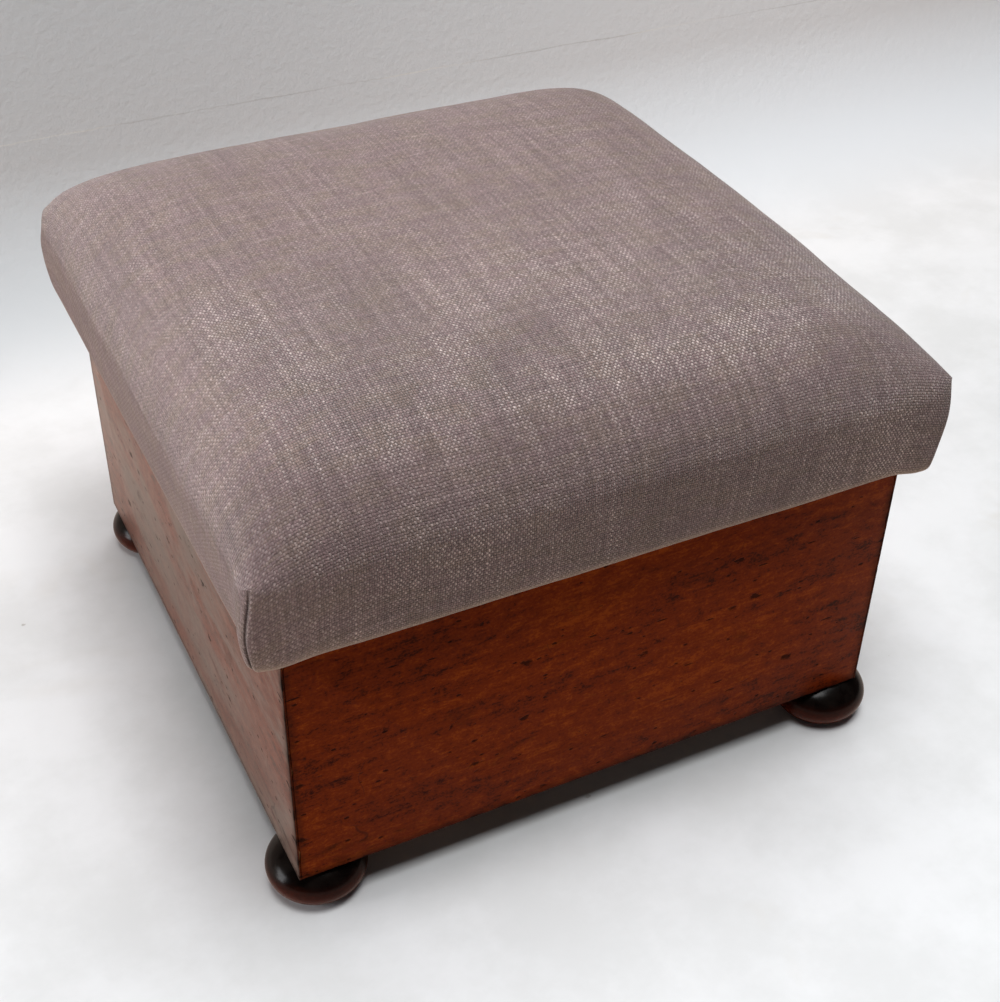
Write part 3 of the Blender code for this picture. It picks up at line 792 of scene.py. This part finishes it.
def swelled(piece, held):
    """Where the cloth's points are after the pressure has swelled it. Held points don't move."""
    group = piece.vertex_groups.new(name="held")
    group.add(held, 1, "REPLACE")
    cloth = piece.modifiers.new("cloth", "CLOTH")
    for name, value in CLOTH_SETTINGS.items():
        setattr(cloth.settings, name, value)
    cloth.settings.effector_weights.gravity = 0
    cloth.collision_settings.use_collision = False
    cloth.point_cache.frame_end = SWELL_FRAMES
    for number in range(1, SWELL_FRAMES + 1):
        bpy.context.scene.frame_set(number)
    graph = bpy.context.evaluated_depsgraph_get()
    result = points_of(piece.evaluated_get(graph).to_mesh())
    piece.modifiers.clear()
    piece.vertex_groups.clear()
    bpy.context.scene.frame_set(1)
    return result


rest_points = points_of(pad.data)
on_seam = [n for (i, j, k), n in pad_numbers.items() if k and i in (0, COUNT) and j in (0, COUNT)]
low_points = np.flatnonzero(rest_points[:, 2] < PAD_BOTTOM + LOWER_ROLL + MM)
moved = swelled(pad, [int(n) for n in low_points] + on_seam)
step = moved - rest_points
size = np.linalg.norm(step, axis=1, keepdims=True)
step *= LARGEST_MOVE / np.maximum(size + LARGEST_MOVE, 1e-9)
pad_points = rest_points + step
print(f"swelling moved the pad by {size.mean() / MM:.1f} mm on average, at most {size.max() / MM:.1f} mm")

# %% [markdown]
# ## Seams, puckers and the uneven lower edge
#
# At each corner the cloth dips into its seam, the seam allowance makes a narrow ridge on one side of it, and the
# cloth round it puckers a little. The lower edge wanders by less than a millimetre and hangs lower at the front
# corners. Three masks are kept with the mesh, so that the material can put painted shade, with a little dirt,
# into the seams, a painted highlight along the turned lower edge, and painted shade over the front roll.

# %% Seams and puckers
SEAM_DIP, RIDGE, PUCKER, LUMP, WANDER = 0.9 * MM, 1.4 * MM, 0.4 * MM, 0.9 * MM, 0.7 * MM
PUCKER_SPACING = 15 * MM
DROOP, RIGHT_HANG, RIGHT_SAG, EAR, EAR_LIFT = 1.6 * MM, 2.2, 4.5 * MM, 8 * MM, 4 * MM
CORNER_REACH = 34 * MM
CORNER_SHAPES = {  # (drawn in at the top, pushed out below it, dropped), by (on the right, at the back)
    (False, False): (-1.4 * MM, 1.5 * MM, 4 * MM),
    (False, True): (5.5 * MM, 3.6 * MM, 0.5 * MM),
    (True, False): (2.4 * MM, 1.2 * MM, 0.5 * MM),
    (True, True): (3.5 * MM, 1.5 * MM, 4 * MM),
}
HEM_HIGHLIGHT_SHARES = (0.6, 1, 1, 0.9, 0.2)  # of the first levels from the underside up


def from_seam(key):
    """A point's distance from the nearer corner seam, measured level round the outline."""
    i, j, k = key
    lesser, greater = sorted((abs(STATIONS[i]), abs(STATIONS[j])))
    return 1 if k == LAST and greater < 1 else (1 - lesser) * OUTLINE_HALF


def seam_strength(level):
    """1 along a seam, fading out just over the shoulder."""
    return ease(level, WIDEST_LEVEL + 8 * MM, WIDEST_LEVEL - 2 * MM)


def seam_move(key, level):
    """How far a point beside a corner seam moves out."""
    distance = from_seam(key)
    ridge_side = 1 if key[1] in (0, COUNT) and key[0] not in (0, COUNT) else 0.25
    dip = -SEAM_DIP * ease(distance, 0.9 * MM, 0.1 * MM)
    ridge = RIDGE * ridge_side * ease(distance, 0.8 * MM, 1.6 * MM) * ease(distance, 4.4 * MM, 2.6 * MM)
    ripple = PUCKER * sin(2 * pi * level / PUCKER_SPACING) * ease(distance, 1 * MM, 4 * MM)
    return (dip + ridge + ripple * ease(distance, 20 * MM, 4 * MM)) * seam_strength(level)


def dressed_point(key, point, normal):
    """A pad point moved by seams, lumps and the hanging lower edge, with the part over the rim left flat."""
    point = Vector(point)
    above = point.z - PAD_BOTTOM
    out = seam_move(key, point.z) * ease(above, -MM, 3 * MM) if from_seam(key) < 25 * MM else 0
    lumps = noise.noise(point * 13) + 0.4 * noise.noise(point * 42 + Vector((3, 1, 7)))
    move = normal * (out + lumps * LUMP * ease(above, 0.5 * MM, 20 * MM))

    beyond = ease(max(abs(point.x), abs(point.y)), BOX_HALF + 2 * MM, BOX_HALF + 9 * MM)
    to_corner = CLOTH_HALF - min(abs(point.x), abs(point.y))
    hang = 1 - 1.35 * ease(to_corner, 14 * MM, 42 * MM) + 0.35 * ease(to_corner, 42 * MM, 110 * MM)
    if point.x > 0:
        hang += RIGHT_HANG * ease(to_corner, 44 * MM, 8 * MM)
    wave = noise.noise(Vector((point.x * 20, point.y * 20, 0.5))) + 0.4 * noise.noise(point * 65)
    fall = hang * DROOP * ease(point.y, 0.2, 0.12)
    move.z += (wave * WANDER - fall) * beyond * ease(above, 32 * MM, 3 * MM)

    if point.x < 0 and point.y < 0:
        ear = ease(to_corner, 34 * MM, 4 * MM) * ease(above, 88 * MM, 24 * MM) * beyond
        lift = ease(to_corner, 24 * MM, 2 * MM) * ease(above, 44 * MM, 12 * MM) * beyond
        move += Vector((-EAR * ear, 0, EAR_LIFT * lift))

    from_corner = Vector((PAD_HALF - abs(point.x), PAD_HALF - abs(point.y))).length
    share = ease(from_corner, CORNER_REACH, 0)
    inward = Vector((-1 if point.x > 0 else 1, -1 if point.y > 0 else 1, 0)).normalized()
    inset, belly, drop = CORNER_SHAPES[point.x > 0, point.y > 0]
    shift = inset * ease(above, 44 * MM, 72 * MM) - belly * sin(pi * min(above / (64 * MM), 1))
    move.z -= drop * share * ease(above, 15 * MM, 62 * MM)
    sag = RIGHT_SAG * ease(point.x, 0.12, 0.23) * ease(-point.y, 0.02, 0.2) * (1 - share)
    move.z -= sag * ease(above, 30 * MM, 90 * MM)
    return point + move + inward * shift * share


print(f"seams fade out {(WIDEST_LEVEL + 8 * MM - PAD_BOTTOM) / MM:.0f} mm above the pad's underside")


# %% Dress the pad
def set_points(points):
    """Move the pad's vertices."""
    pad.data.vertices.foreach_set("co", points.ravel())
    pad.data.update()


set_points(pad_points)
key_of = {number: key for key, number in pad_numbers.items()}
normals = [vertex.normal.copy() for vertex in pad.data.vertices]
dressed = np.array([dressed_point(key_of[n], p, normals[n]) for n, p in enumerate(pad_points)])
set_points(dressed)

masks = {name: np.zeros(len(dressed)) for name in ("seam", "hem_highlight", "closed")}
for number, (i, j, k) in key_of.items():
    _, y, z = dressed[number]
    # Along a seam: painted shade in its crease, with a little dirt.
    near = ease(from_seam((i, j, k)), 1.9 * MM, 0.5 * MM)
    masks["seam"][number] = near * seam_strength(z) * (k > 0)
    # Painted shade over the front roll, from just below the top of the pad down its curve.
    drop = PAD_TOP - z
    on_roll = ease(drop, 4 * MM, 24 * MM) * ease(drop, 64 * MM, 42 * MM)
    masks["closed"][number] = on_roll * ease(-y, 0.17, 0.21)
    # The lowest levels round the edge get a painted highlight, where the cloth turns under.
    if k < len(HEM_HIGHLIGHT_SHARES) and (i in (0, COUNT) or j in (0, COUNT)):
        masks["hem_highlight"][number] = HEM_HIGHLIGHT_SHARES[k]
for name, values in masks.items():
    pad.data.attributes.new(name, "FLOAT", "POINT")
    pad.data.attributes[name].data.foreach_set("value", values)
    print(f"mask {name}: {np.count_nonzero(values > 0.5)} points over one half")
print(f"pad reaches {np.abs(dressed[:, :2]).max() / MM:.1f} mm out and {dressed[:, 2].max() / MM:.1f} mm up")

# %% [markdown]
# ## Cloth directions on the pad
#
# The weave must run straight over the top and down the sides, with no stretch. The mesh's lines follow the
# threads, so the length added up along each line is the distance along the cloth. It is kept as a UV map,
# because only a map can change abruptly at a seam.


# %% Thread map
def line_lengths(places, across):
    """Distances along one direction of a grid of places, counted from its middle line."""
    steps = np.linalg.norm(np.diff(places, axis=across), axis=2)
    total = np.insert(np.cumsum(steps, across), 0, 0, across)
    return total - np.take(total, [total.shape[across] // 2], across)


def grid_places(key, height):
    """The places of a panel's grid points."""
    return np.array([[dressed[pad_numbers[key(c, r)]] for r in range(height + 1)] for c in range(COUNT + 1)])


def panel_threads():
    """For each panel, the cloth distances (u, v) of its grid points, by grid key."""
    top = grid_places(lambda c, r: (c, r, LAST), COUNT)
    u, v = line_lengths(top, 0), line_lengths(top, 1)
    threads = {"top": {(c, r, LAST): (u[c, r], v[c, r]) for c in range(COUNT + 1) for r in range(COUNT + 1)}}
    sides = {
        "front": (lambda c, r: (c, 0, r), 1, -1),
        "back": (lambda c, r: (c, COUNT, r), 1, 1),
        "right": (lambda c, r: (COUNT, c, r), 0, 1),
        "left": (lambda c, r: (0, c, r), 0, -1),
    }
    for name, (key, down, outward) in sides.items():
        places = grid_places(key, LAST)
        around = line_lengths(places, 0)
        drop = np.linalg.norm(np.diff(places, axis=1), axis=2)
        drop = np.insert(np.cumsum(drop[:, ::-1], 1)[:, ::-1], LAST, 0, 1)
        threads[name] = {}
        for c in range(COUNT + 1):
            start = threads["top"][key(c, LAST)][down]
            for r in range(LAST + 1):
                pair = [around[c, r], around[c, r]]
                pair[down] = start + outward * drop[c, r]
                threads[name][key(c, r)] = tuple(pair)
    return threads


threads = panel_threads()
thread_map = pad.data.uv_layers.new(name="threads")
for face, panel_name in zip(pad.data.polygons, pad_panels):
    for loop in face.loop_indices:
        vertex = pad.data.loops[loop].vertex_index
        under = panel_name == "bottom"
        thread_map.data[loop].uv = dressed[vertex][:2] if under else threads[panel_name][key_of[vertex]]
print(f"cloth runs {2 * max(uv[0] for uv in threads['top'].values()) / MM:.0f} mm over the top")

# %% Finish the pad
pad.data.shade_smooth()
finer = pad.modifiers.new("finer", "SUBSURF")
finer.levels = finer.render_levels = 1
finer.uv_smooth = "PRESERVE_BOUNDARIES"
applied(pad)
pad.data.shade_smooth()
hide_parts("seat_cover", "wadding", "foam_pad")
print("finished pad:", len(pad.data.polygons), "faces")

# %% [markdown]
# ## Lining and tacks under the lid
#
# A thin black lining, stretched flat and fixed with blued tacks, hides the raw edge of the cover. Between the
# tacks its edge is pulled in a little, and it sags by a fraction of a millimetre.

# %% Lining
lining_low, lining_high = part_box("lid_lining")
LINING_HALF = lining_high.x
LINING_CELLS = 84
LINING_LEVEL = lining_high.z - 0.15 * MM
LINING_SLACK, LINING_PULL = 0.35 * MM, 0.9 * MM
TACK_SPACING = 52 * MM
TACK_INSET = 6 * MM


def pulled_in(place, other, share):
    """One coordinate of a place on the lining, pulled in between two tacks if it is near its edge."""
    pull = LINING_PULL * sin(pi * other / TACK_SPACING) ** 2 * ease(abs(share), 0.9, 1)
    return place - pull * (1 if share > 0 else -1)


def lining_mesh():
    """A thin sheet, scalloped between its tacks and slightly slack in the middle."""
    shares = [2 * i / LINING_CELLS - 1 for i in range(LINING_CELLS + 1)]
    places = []
    for v in shares:
        for u in shares:
            x, y = u * (LINING_HALF - 0.4 * MM), v * (LINING_HALF - 0.4 * MM)
            slack = LINING_SLACK * (1 + noise.noise(Vector((x * 16, y * 16, 2))))
            slack *= ease(max(abs(u), abs(v)), 0.99, 0.85)
            places.append((pulled_in(x, y, u), pulled_in(y, x, v), LINING_LEVEL - slack))
    row = LINING_CELLS + 1
    faces = [(n, n + row, n + row + 1, n + 1) for n in range(row * LINING_CELLS) if n % row < LINING_CELLS]
    return mesh_from("lining_sheet", places, faces)


lining = new_piece("lining_sheet", lining_mesh(), lining_finish, "lid")
thickness = lining.modifiers.new("thickness", "SOLIDIFY")
thickness.thickness = 0.3 * MM
thickness.offset = 0
applied(lining)
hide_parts("lid_lining")


# %% Tacks
def tack_places():
    """Evenly spaced places round the lining, a little in from its edge."""
    reach = LINING_HALF - TACK_INSET
    count = round(2 * reach / TACK_SPACING)
    line = [-reach + 2 * reach * i / count for i in range(count)]
    return [p for t in line for p in ((t, -reach), (reach, t), (-t, reach), (-reach, -t))]


def tack_mesh():
    """A cut tack, point up: a slightly domed head and a shank that tapers to its point."""
    head, shank, length = 3.2 * MM, 0.7 * MM, 7 * MM
    dome = [(head * cos(a), -0.9 * MM * sin(a)) for a in (radians(70), radians(45), radians(20), 0)]
    under = [(head, 0.25 * MM), (shank, 0.35 * MM), (shank, length - 3 * MM), (0.2 * MM, length)]
    return lathe(dome + under, 18)


def joined(name, mesh, places):
    """Copies of one mesh at several places, (x, y, z) and a turn about Z, as one mesh."""
    shape = bmesh.new()
    for x, y, z, angle in places:
        before = len(shape.verts)
        shape.from_mesh(mesh)
        shape.verts.ensure_lookup_table()
        move = Matrix.Translation((x, y, z)) @ Matrix.Rotation(angle, 4, "Z")
        bmesh.ops.transform(shape, matrix=move, verts=shape.verts[before:])
    return mesh_of(shape, name)


tack_level = LINING_LEVEL - 0.4 * MM
around = [(x, y, tack_level, (x + 2 * y) * 40) for x, y in tack_places()]
tacks = new_piece("lining_tacks", joined("lining_tacks", tack_mesh(), around), tack_finish, "lid")
print("tacks:", len(around))

# %% [markdown]
# ## Veneer
#
# Each side of the box is a sheet of sawn veneer about 1.5 mm thick, with rubbed and chipped edges. Each sheet is
# cut out along an outline with small bites in it, given its thickness and softly rounded.

# %% Veneer sheets
OUTLINE_STEP = 1.8 * MM
DEEPEST_BITE = 1.1 * MM
EDGE_ROUND = 0.45 * MM


def bite(x, y, seed):
    """How far the edge is worn back at a place: mostly a hair, here and there a chip."""
    slow = noise.noise(Vector((x * 30, y * 30, seed)))
    quick = noise.noise(Vector((x * 260, y * 260, seed + 5)))
    chip = ease(noise.noise(Vector((x * 75, y * 75, seed + 9))), 0.28, 0.5)
    return DEEPEST_BITE * min(0.10 + 0.10 * slow + 0.16 * abs(quick) + 0.75 * chip * abs(quick + 0.4), 1)


def worn_outline(half, low, high, notches, seed):
    """Points round a sheet, (along, up). Notches are (start, end, depth) cuts in its upper edge."""
    corners = [(-half, low), (half, low), (half, high)]
    for start, end, depth in sorted(notches, reverse=True):
        corners += [(end, high), (end, high - depth), (start, high - depth), (start, high)]
    corners.append((-half, high))
    points = []
    for (x0, y0), (x1, y1) in zip(corners, corners[1:] + corners[:1]):
        length = abs(x1 - x0) + abs(y1 - y0)
        inward = Vector((-(y1 - y0), x1 - x0)).normalized()
        count = max(round(length / OUTLINE_STEP), 1)
        cut = any(abs(y - high) > 1e-6 and abs(y - low) > 1e-6 for y in (y0, y1))
        for i in range(count):
            place = Vector((x0 + (x1 - x0) * i / count, y0 + (y1 - y0) * i / count))
            wear = 0 if cut else bite(place.x, place.y, seed) * (0.35 if y0 == y1 == high else 1)
            points.append(place + inward * wear)
    return points


def veneer_sheet(name, seed, notches=()):
    """One side's sheet, upright on the face of the box, worn along its edges."""
    low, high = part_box(name)
    thin = 1 if high.x - low.x > high.y - low.y else 0  # the axis across the sheet's thickness
    outward = 1 if low[thin] + high[thin] > 0 else -1
    inner = low[thin] if outward > 0 else high[thin]
    shape = bmesh.new()
    outline = worn_outline(high[1 - thin], low.z, high.z, notches, seed)
    ring = [shape.verts.new((along, inner, up) if thin else (inner, along, up)) for along, up in outline]
    pushed = bmesh.ops.extrude_face_region(shape, geom=[shape.faces.new(ring)])["geom"]
    front = {item for item in pushed if isinstance(item, bmesh.types.BMVert)}
    move = Vector((0, 0, 0))
    move[thin] = outward * VENEER
    bmesh.ops.translate(shape, vec=move, verts=list(front))
    bmesh.ops.recalc_face_normals(shape, faces=shape.faces)
    rim = [edge for edge in shape.edges if front.issuperset(edge.verts)]
    bmesh.ops.bevel(shape, geom=rim, offset=EDGE_ROUND, segments=2, profile=0.6, affect="EDGES")
    mesh = mesh_of(shape, name + "_sheet", radians(40))
    sheet = new_piece(name + "_sheet", mesh, mahogany_finish, "box")
    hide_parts(name)


notches = []  # where the hinges are let into the back sheet
for side in ("left", "right"):
    low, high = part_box(f"{side}_hinge_box_leaf")
    notches.append((low.x - TOUCH, high.x + TOUCH, RIM - low.z + TOUCH))
for seed, side in enumerate(("front", "right", "left")):
    veneer_sheet(f"{side}_veneer", 11 + 7 * seed)
veneer_sheet("back_veneer", 40, notches)
print("veneer sheets: 4, the back one with", len(notches), "notches")

# %% [markdown]
# ## Boards, base and blocks
#
# These solids already have the right shape, with dovetails, mortises and bores. They only lack the tiny rounding
# of sawn and planed edges. A Weld modifier joins the points that the file format split, and a Bevel rounds them.


# %% Carpentry
def softened(ending, width, material):
    """Give the solids whose names have this ending a material and softly rounded edges."""
    chosen = sorted(name for name in nodes if name.endswith(ending))
    for name in chosen:
        solid = nodes[name]
        solid.data.materials.clear()
        solid.data.materials.append(material)
        weld = solid.modifiers.new("weld", "WELD")
        weld.merge_threshold = 0.01 * MM
        rounding = solid.modifiers.new("rounding", "BEVEL")
        rounding.width = width
        rounding.segments = 2
        rounding.limit_method = "ANGLE"
        rounding.angle_limit = radians(40)
        rounding.harden_normals = True
    return chosen


print("pine:", ", ".join(softened(("_board", "_block"), 0.6 * MM, pine_finish)))

# %% [markdown]
# ## Bun feet
#
# Each foot's solid is replaced by a turning with many more sides and the same profile: a flat to stand on, a
# full belly and a small collar under the box.

# %% Feet
FOOT_FLAT = 24 * MM
COLLAR, COLLAR_HEIGHT = 21 * MM, 1.6 * MM
SPIGOT, SPIGOT_LENGTH = 9.5 * MM, 15 * MM
FOOT_SIDES, FOOT_RINGS = 96, 16


def foot_profile(radius):
    """The foot's turned outline from the floor up, with its lower edge rubbed round."""
    shoulder = BOX_BOTTOM - TOUCH
    half = (shoulder - COLLAR_HEIGHT) / 2
    profile = []
    for flat, direction in ((FOOT_FLAT, -1), (COLLAR, 1)):
        limit = acos(flat / radius)
        turns = [limit * step / FOOT_RINGS for step in range(FOOT_RINGS + 1)]
        arc = [(radius * cos(t), half + direction * half * sin(t) / sin(limit)) for t in turns]
        profile += arc[:0:-1] if direction < 0 else arc
    profile[0] = (profile[0][0] - 0.5 * MM, 0)
    profile.insert(1, (FOOT_FLAT + 0.3 * MM, 0.35 * MM))
    return profile + [(COLLAR, shoulder), (SPIGOT, shoulder), (SPIGOT, BOX_BOTTOM + SPIGOT_LENGTH)]


for name in [n for n in nodes if n.endswith("_foot")]:
    low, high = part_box(name)
    foot_mesh = lathe(foot_profile((high.x - low.x) / 2), FOOT_SIDES, radians(50))
    middle = (low + high) / 2
    foot_mesh.transform(Matrix.Translation((middle.x, middle.y, 0)))
    foot = new_piece(name.replace("_foot", "_bun_foot"), foot_mesh, foot_finish, "box")
    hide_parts(name)
print("feet:", FOOT_SIDES, "sides each")

# %% [markdown]
# ## Hinges and screws
#
# The leaves and pins keep their solids with softened edges. The screws get a slot across the head, each turned
# to its own angle, as a hand driver leaves them.

# %% Hinges
SLOT_WIDTH, SLOT_DEPTH = 0.7 * MM, 0.6 * MM
SCREW_TURN = 1.9  # from one screw's slot to the next one's, in radians

softened("_leaf", 0.15 * MM, brass_finish)
softened("_pin", 0.2 * MM, steel_finish)


def screw_mesh(low, high, head_up):
    """A countersunk screw with a slotted head, the size of its solid, standing at the origin by its head."""
    head = (high.x - low.x) / 2
    length = high.z - low.z
    shank = head / 2
    tip, top = [(shank * 0.4, -length), (shank, 2 * MM - length)], [(head, -0.12 * MM), (head * 0.93, 0)]
    screw = linked("screw", lathe([*tip, (shank, -1.3 * MM), *top], 24))
    cube = bmesh.new()
    bmesh.ops.create_cube(cube, size=1)
    bmesh.ops.scale(cube, vec=(3 * head, SLOT_WIDTH, 2 * SLOT_DEPTH), verts=cube.verts)
    cutter = linked("slot", mesh_of(cube, "slot"))
    slot_cut = screw.modifiers.new("slot", "BOOLEAN")
    slot_cut.operation = "DIFFERENCE"
    slot_cut.object = cutter
    mesh = applied(screw).data
    bpy.data.objects.remove(screw)
    bpy.data.objects.remove(cutter)
    if not head_up:
        mesh.transform(Matrix.Rotation(pi, 4, "X"))
    return mesh


for order, name in enumerate(n for n in sorted(nodes) if "_screw_" in n):
    low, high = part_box(name)
    in_box = "_box_" in name
    shape = screw_mesh(low, high, in_box)
    middle = (low + high) / 2
    middle.z = high.z if in_box else low.z
    shape.transform(Matrix.Translation(middle) @ Matrix.Rotation(order * SCREW_TURN, 4, "Z"))
    slotted = new_piece(name + "_slotted", shape, steel_finish, "box" if in_box else "lid")
    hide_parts(name)
print("screws:", order + 1)

# %% [markdown]
# ## Floor, backdrop and light
#
# The stool stands on a pale floor, which rises in a soft cove to a plastered wall. Painted shade greys the wall,
# more on the left, and a thin level line on it is painted shade with a painted highlight along its rim. Most of
# the light comes from above: a broad glow, and a smaller lamp that sharpens the shadow under the box. A window
# lights the left side. The front gets only what the floor throws back, so it is in half shade.

# %% Floor and wall
WALL_Y = 0.64
COVE = 0.17
LINE_LEVEL = 0.195
FLOOR_REACH = 6
WALL_TOP = 0.62
COVE_STEPS = 24
THROWN_BACK = (0.74, 0.63, 0.56, 1)  # the floor's colour in the light that it throws on the stool


def backdrop_mesh():
    """One surface: the floor, the cove and the wall."""
    turns = [pi / 2 * number / COVE_STEPS for number in range(COVE_STEPS + 1)]
    cove = [(WALL_Y - COVE + COVE * sin(angle), COVE * (1 - cos(angle))) for angle in turns]
    outline = [(-FLOOR_REACH, 0), *cove, (WALL_Y, WALL_TOP)]
    places = [(side * FLOOR_REACH, y, z) for y, z in outline for side in (-1, 1)]
    faces = [(2 * i, 2 * i + 1, 2 * i + 3, 2 * i + 2) for i in range(len(outline) - 1)]
    return mesh_from("backdrop", places, faces)


def pale_floor():
    """White paint with faint cloudy marks and specks of dirt, greyed by painted shade towards the wall and more
    on the left, and a thin level line of painted shade with a painted highlight along its rim.
    """
    tree = new_material("pale_floor", Specular_IOR_Level=0.05)
    place = tree.place()
    x, y, z = place.parts()
    cloudy = place.noise(7, 6, 0.65)
    colour = tree.blend(cloudy.step(0.35, 0.65), seen(230, 232, 233), seen(240, 242, 244))
    stained = place.noise(5, 4, 0.7, 0.6).step(0.58, 0.72)
    colour = tree.blend(stained * 0.25, colour, seen(214, 208, 196))
    rare = place.cells(30, "Color").parts()[0].step(0.93, 1, 0, 0.09)
    speck = (place.cells(30) + (place.noise(260) - 0.5) * 0.12 - rare).step(0, -0.04)
    colour = tree.blend(speck * 0.5, colour, seen(150, 142, 132))
    # Towards the wall and up it the colour greys, more on the left: painted shade where the light falls off.
    wall_shade = tree.blend(x.step(0.9, -0.3), seen(238, 243, 248), seen(210, 216, 220))
    colour = tree.blend((y + z).step(WALL_Y - 0.26, WALL_Y + 0.02), colour, wall_shade)
    # A thin level line along the wall: painted shade, with a painted highlight along its rim here and there.
    waver = (place.noise(18, 5, 0.7) - 0.5) * (7 * MM)
    level_line = abs(z + waver - LINE_LEVEL).step(1.2 * MM, 0.2 * MM) * place.noise(9).step(0.3, 0.6, 0.1, 0.32)
    lit = place.noise(4, 1).step(0.45, 0.6)
    colour = tree.blend(level_line, colour, tree.blend(lit, seen(158, 156, 152), seen(252, 250, 240)))
    in_view = tree.add("LightPath", output="Is Camera Ray")
    plaster = place.noise(120, 3, 0.6) * z.step(0.02, 0.1)
    tree.give(
        Base_Color=tree.blend(in_view, THROWN_BACK, colour),
        Roughness=cloudy.step(0.3, 0.7, 0.55, 0.75),
        Normal=tree.bump(plaster, 1.5 * MM, 0.5),
    )
    # Seen from behind, the wall is clear, so that it never hides the back of the stool
    behind = tree.add("NewGeometry", output="Backfacing")
    nodes = tree.tree.nodes
    painted = Value(tree, nodes["Principled BSDF"].outputs["BSDF"])
    surface = tree.add("MixShader", {0: behind * in_view, 1: painted, 2: tree.add("BsdfTransparent")})
    tree.feed(nodes["Material Output"].inputs["Surface"], surface)
    return tree.material


backdrop = linked("backdrop", backdrop_mesh())
backdrop.data.materials.append(pale_floor())
print("backdrop stands", WALL_Y, "m behind the middle of the stool")


# %% Light
def area_light(name, place, target, width, power, colour=(1, 1, 1)):
    """A square soft light aimed at a point."""
    data = bpy.data.lights.new(name, "AREA")
    data.size = width
    data.energy = power
    data.color = colour
    lamp = linked(name, data)
    lamp.location = Vector(place)
    lamp.rotation_euler = (Vector(target) - Vector(place)).to_track_quat("-Z", "Y").to_euler()


area_light("ceiling_glow", (0.6, 0.15, 2.7), (0.3, 0, 0), 2, 44)
area_light("ceiling_lamp", (-0.25, -0.62, 2.7), (-0.25, -0.62, 0), 1.1, 41)
area_light("window_light", (-3.3, 0.5, 0.8), (0, 0, 0.2), 1.4, 67, (0.98, 0.98, 1))

world = bpy.data.worlds.new("room")
bpy.context.scene.world = world
world.use_nodes = True
room = Tree(world.node_tree, world.node_tree.nodes["Background"].inputs)
# Pale where the camera sees past the wall, but giving little light
in_view = room.add("LightPath", output="Is Camera Ray")
strength = room.add("MapRange", {"Value": in_view, "To Min": 0.03, "To Max": 0.58})
room.give(Color=(0.93, 0.96, 1, 1), Strength=strength)
bpy.context.scene.view_settings.view_transform = "Standard"
print("lights: window from the left, ceiling above, room all round")
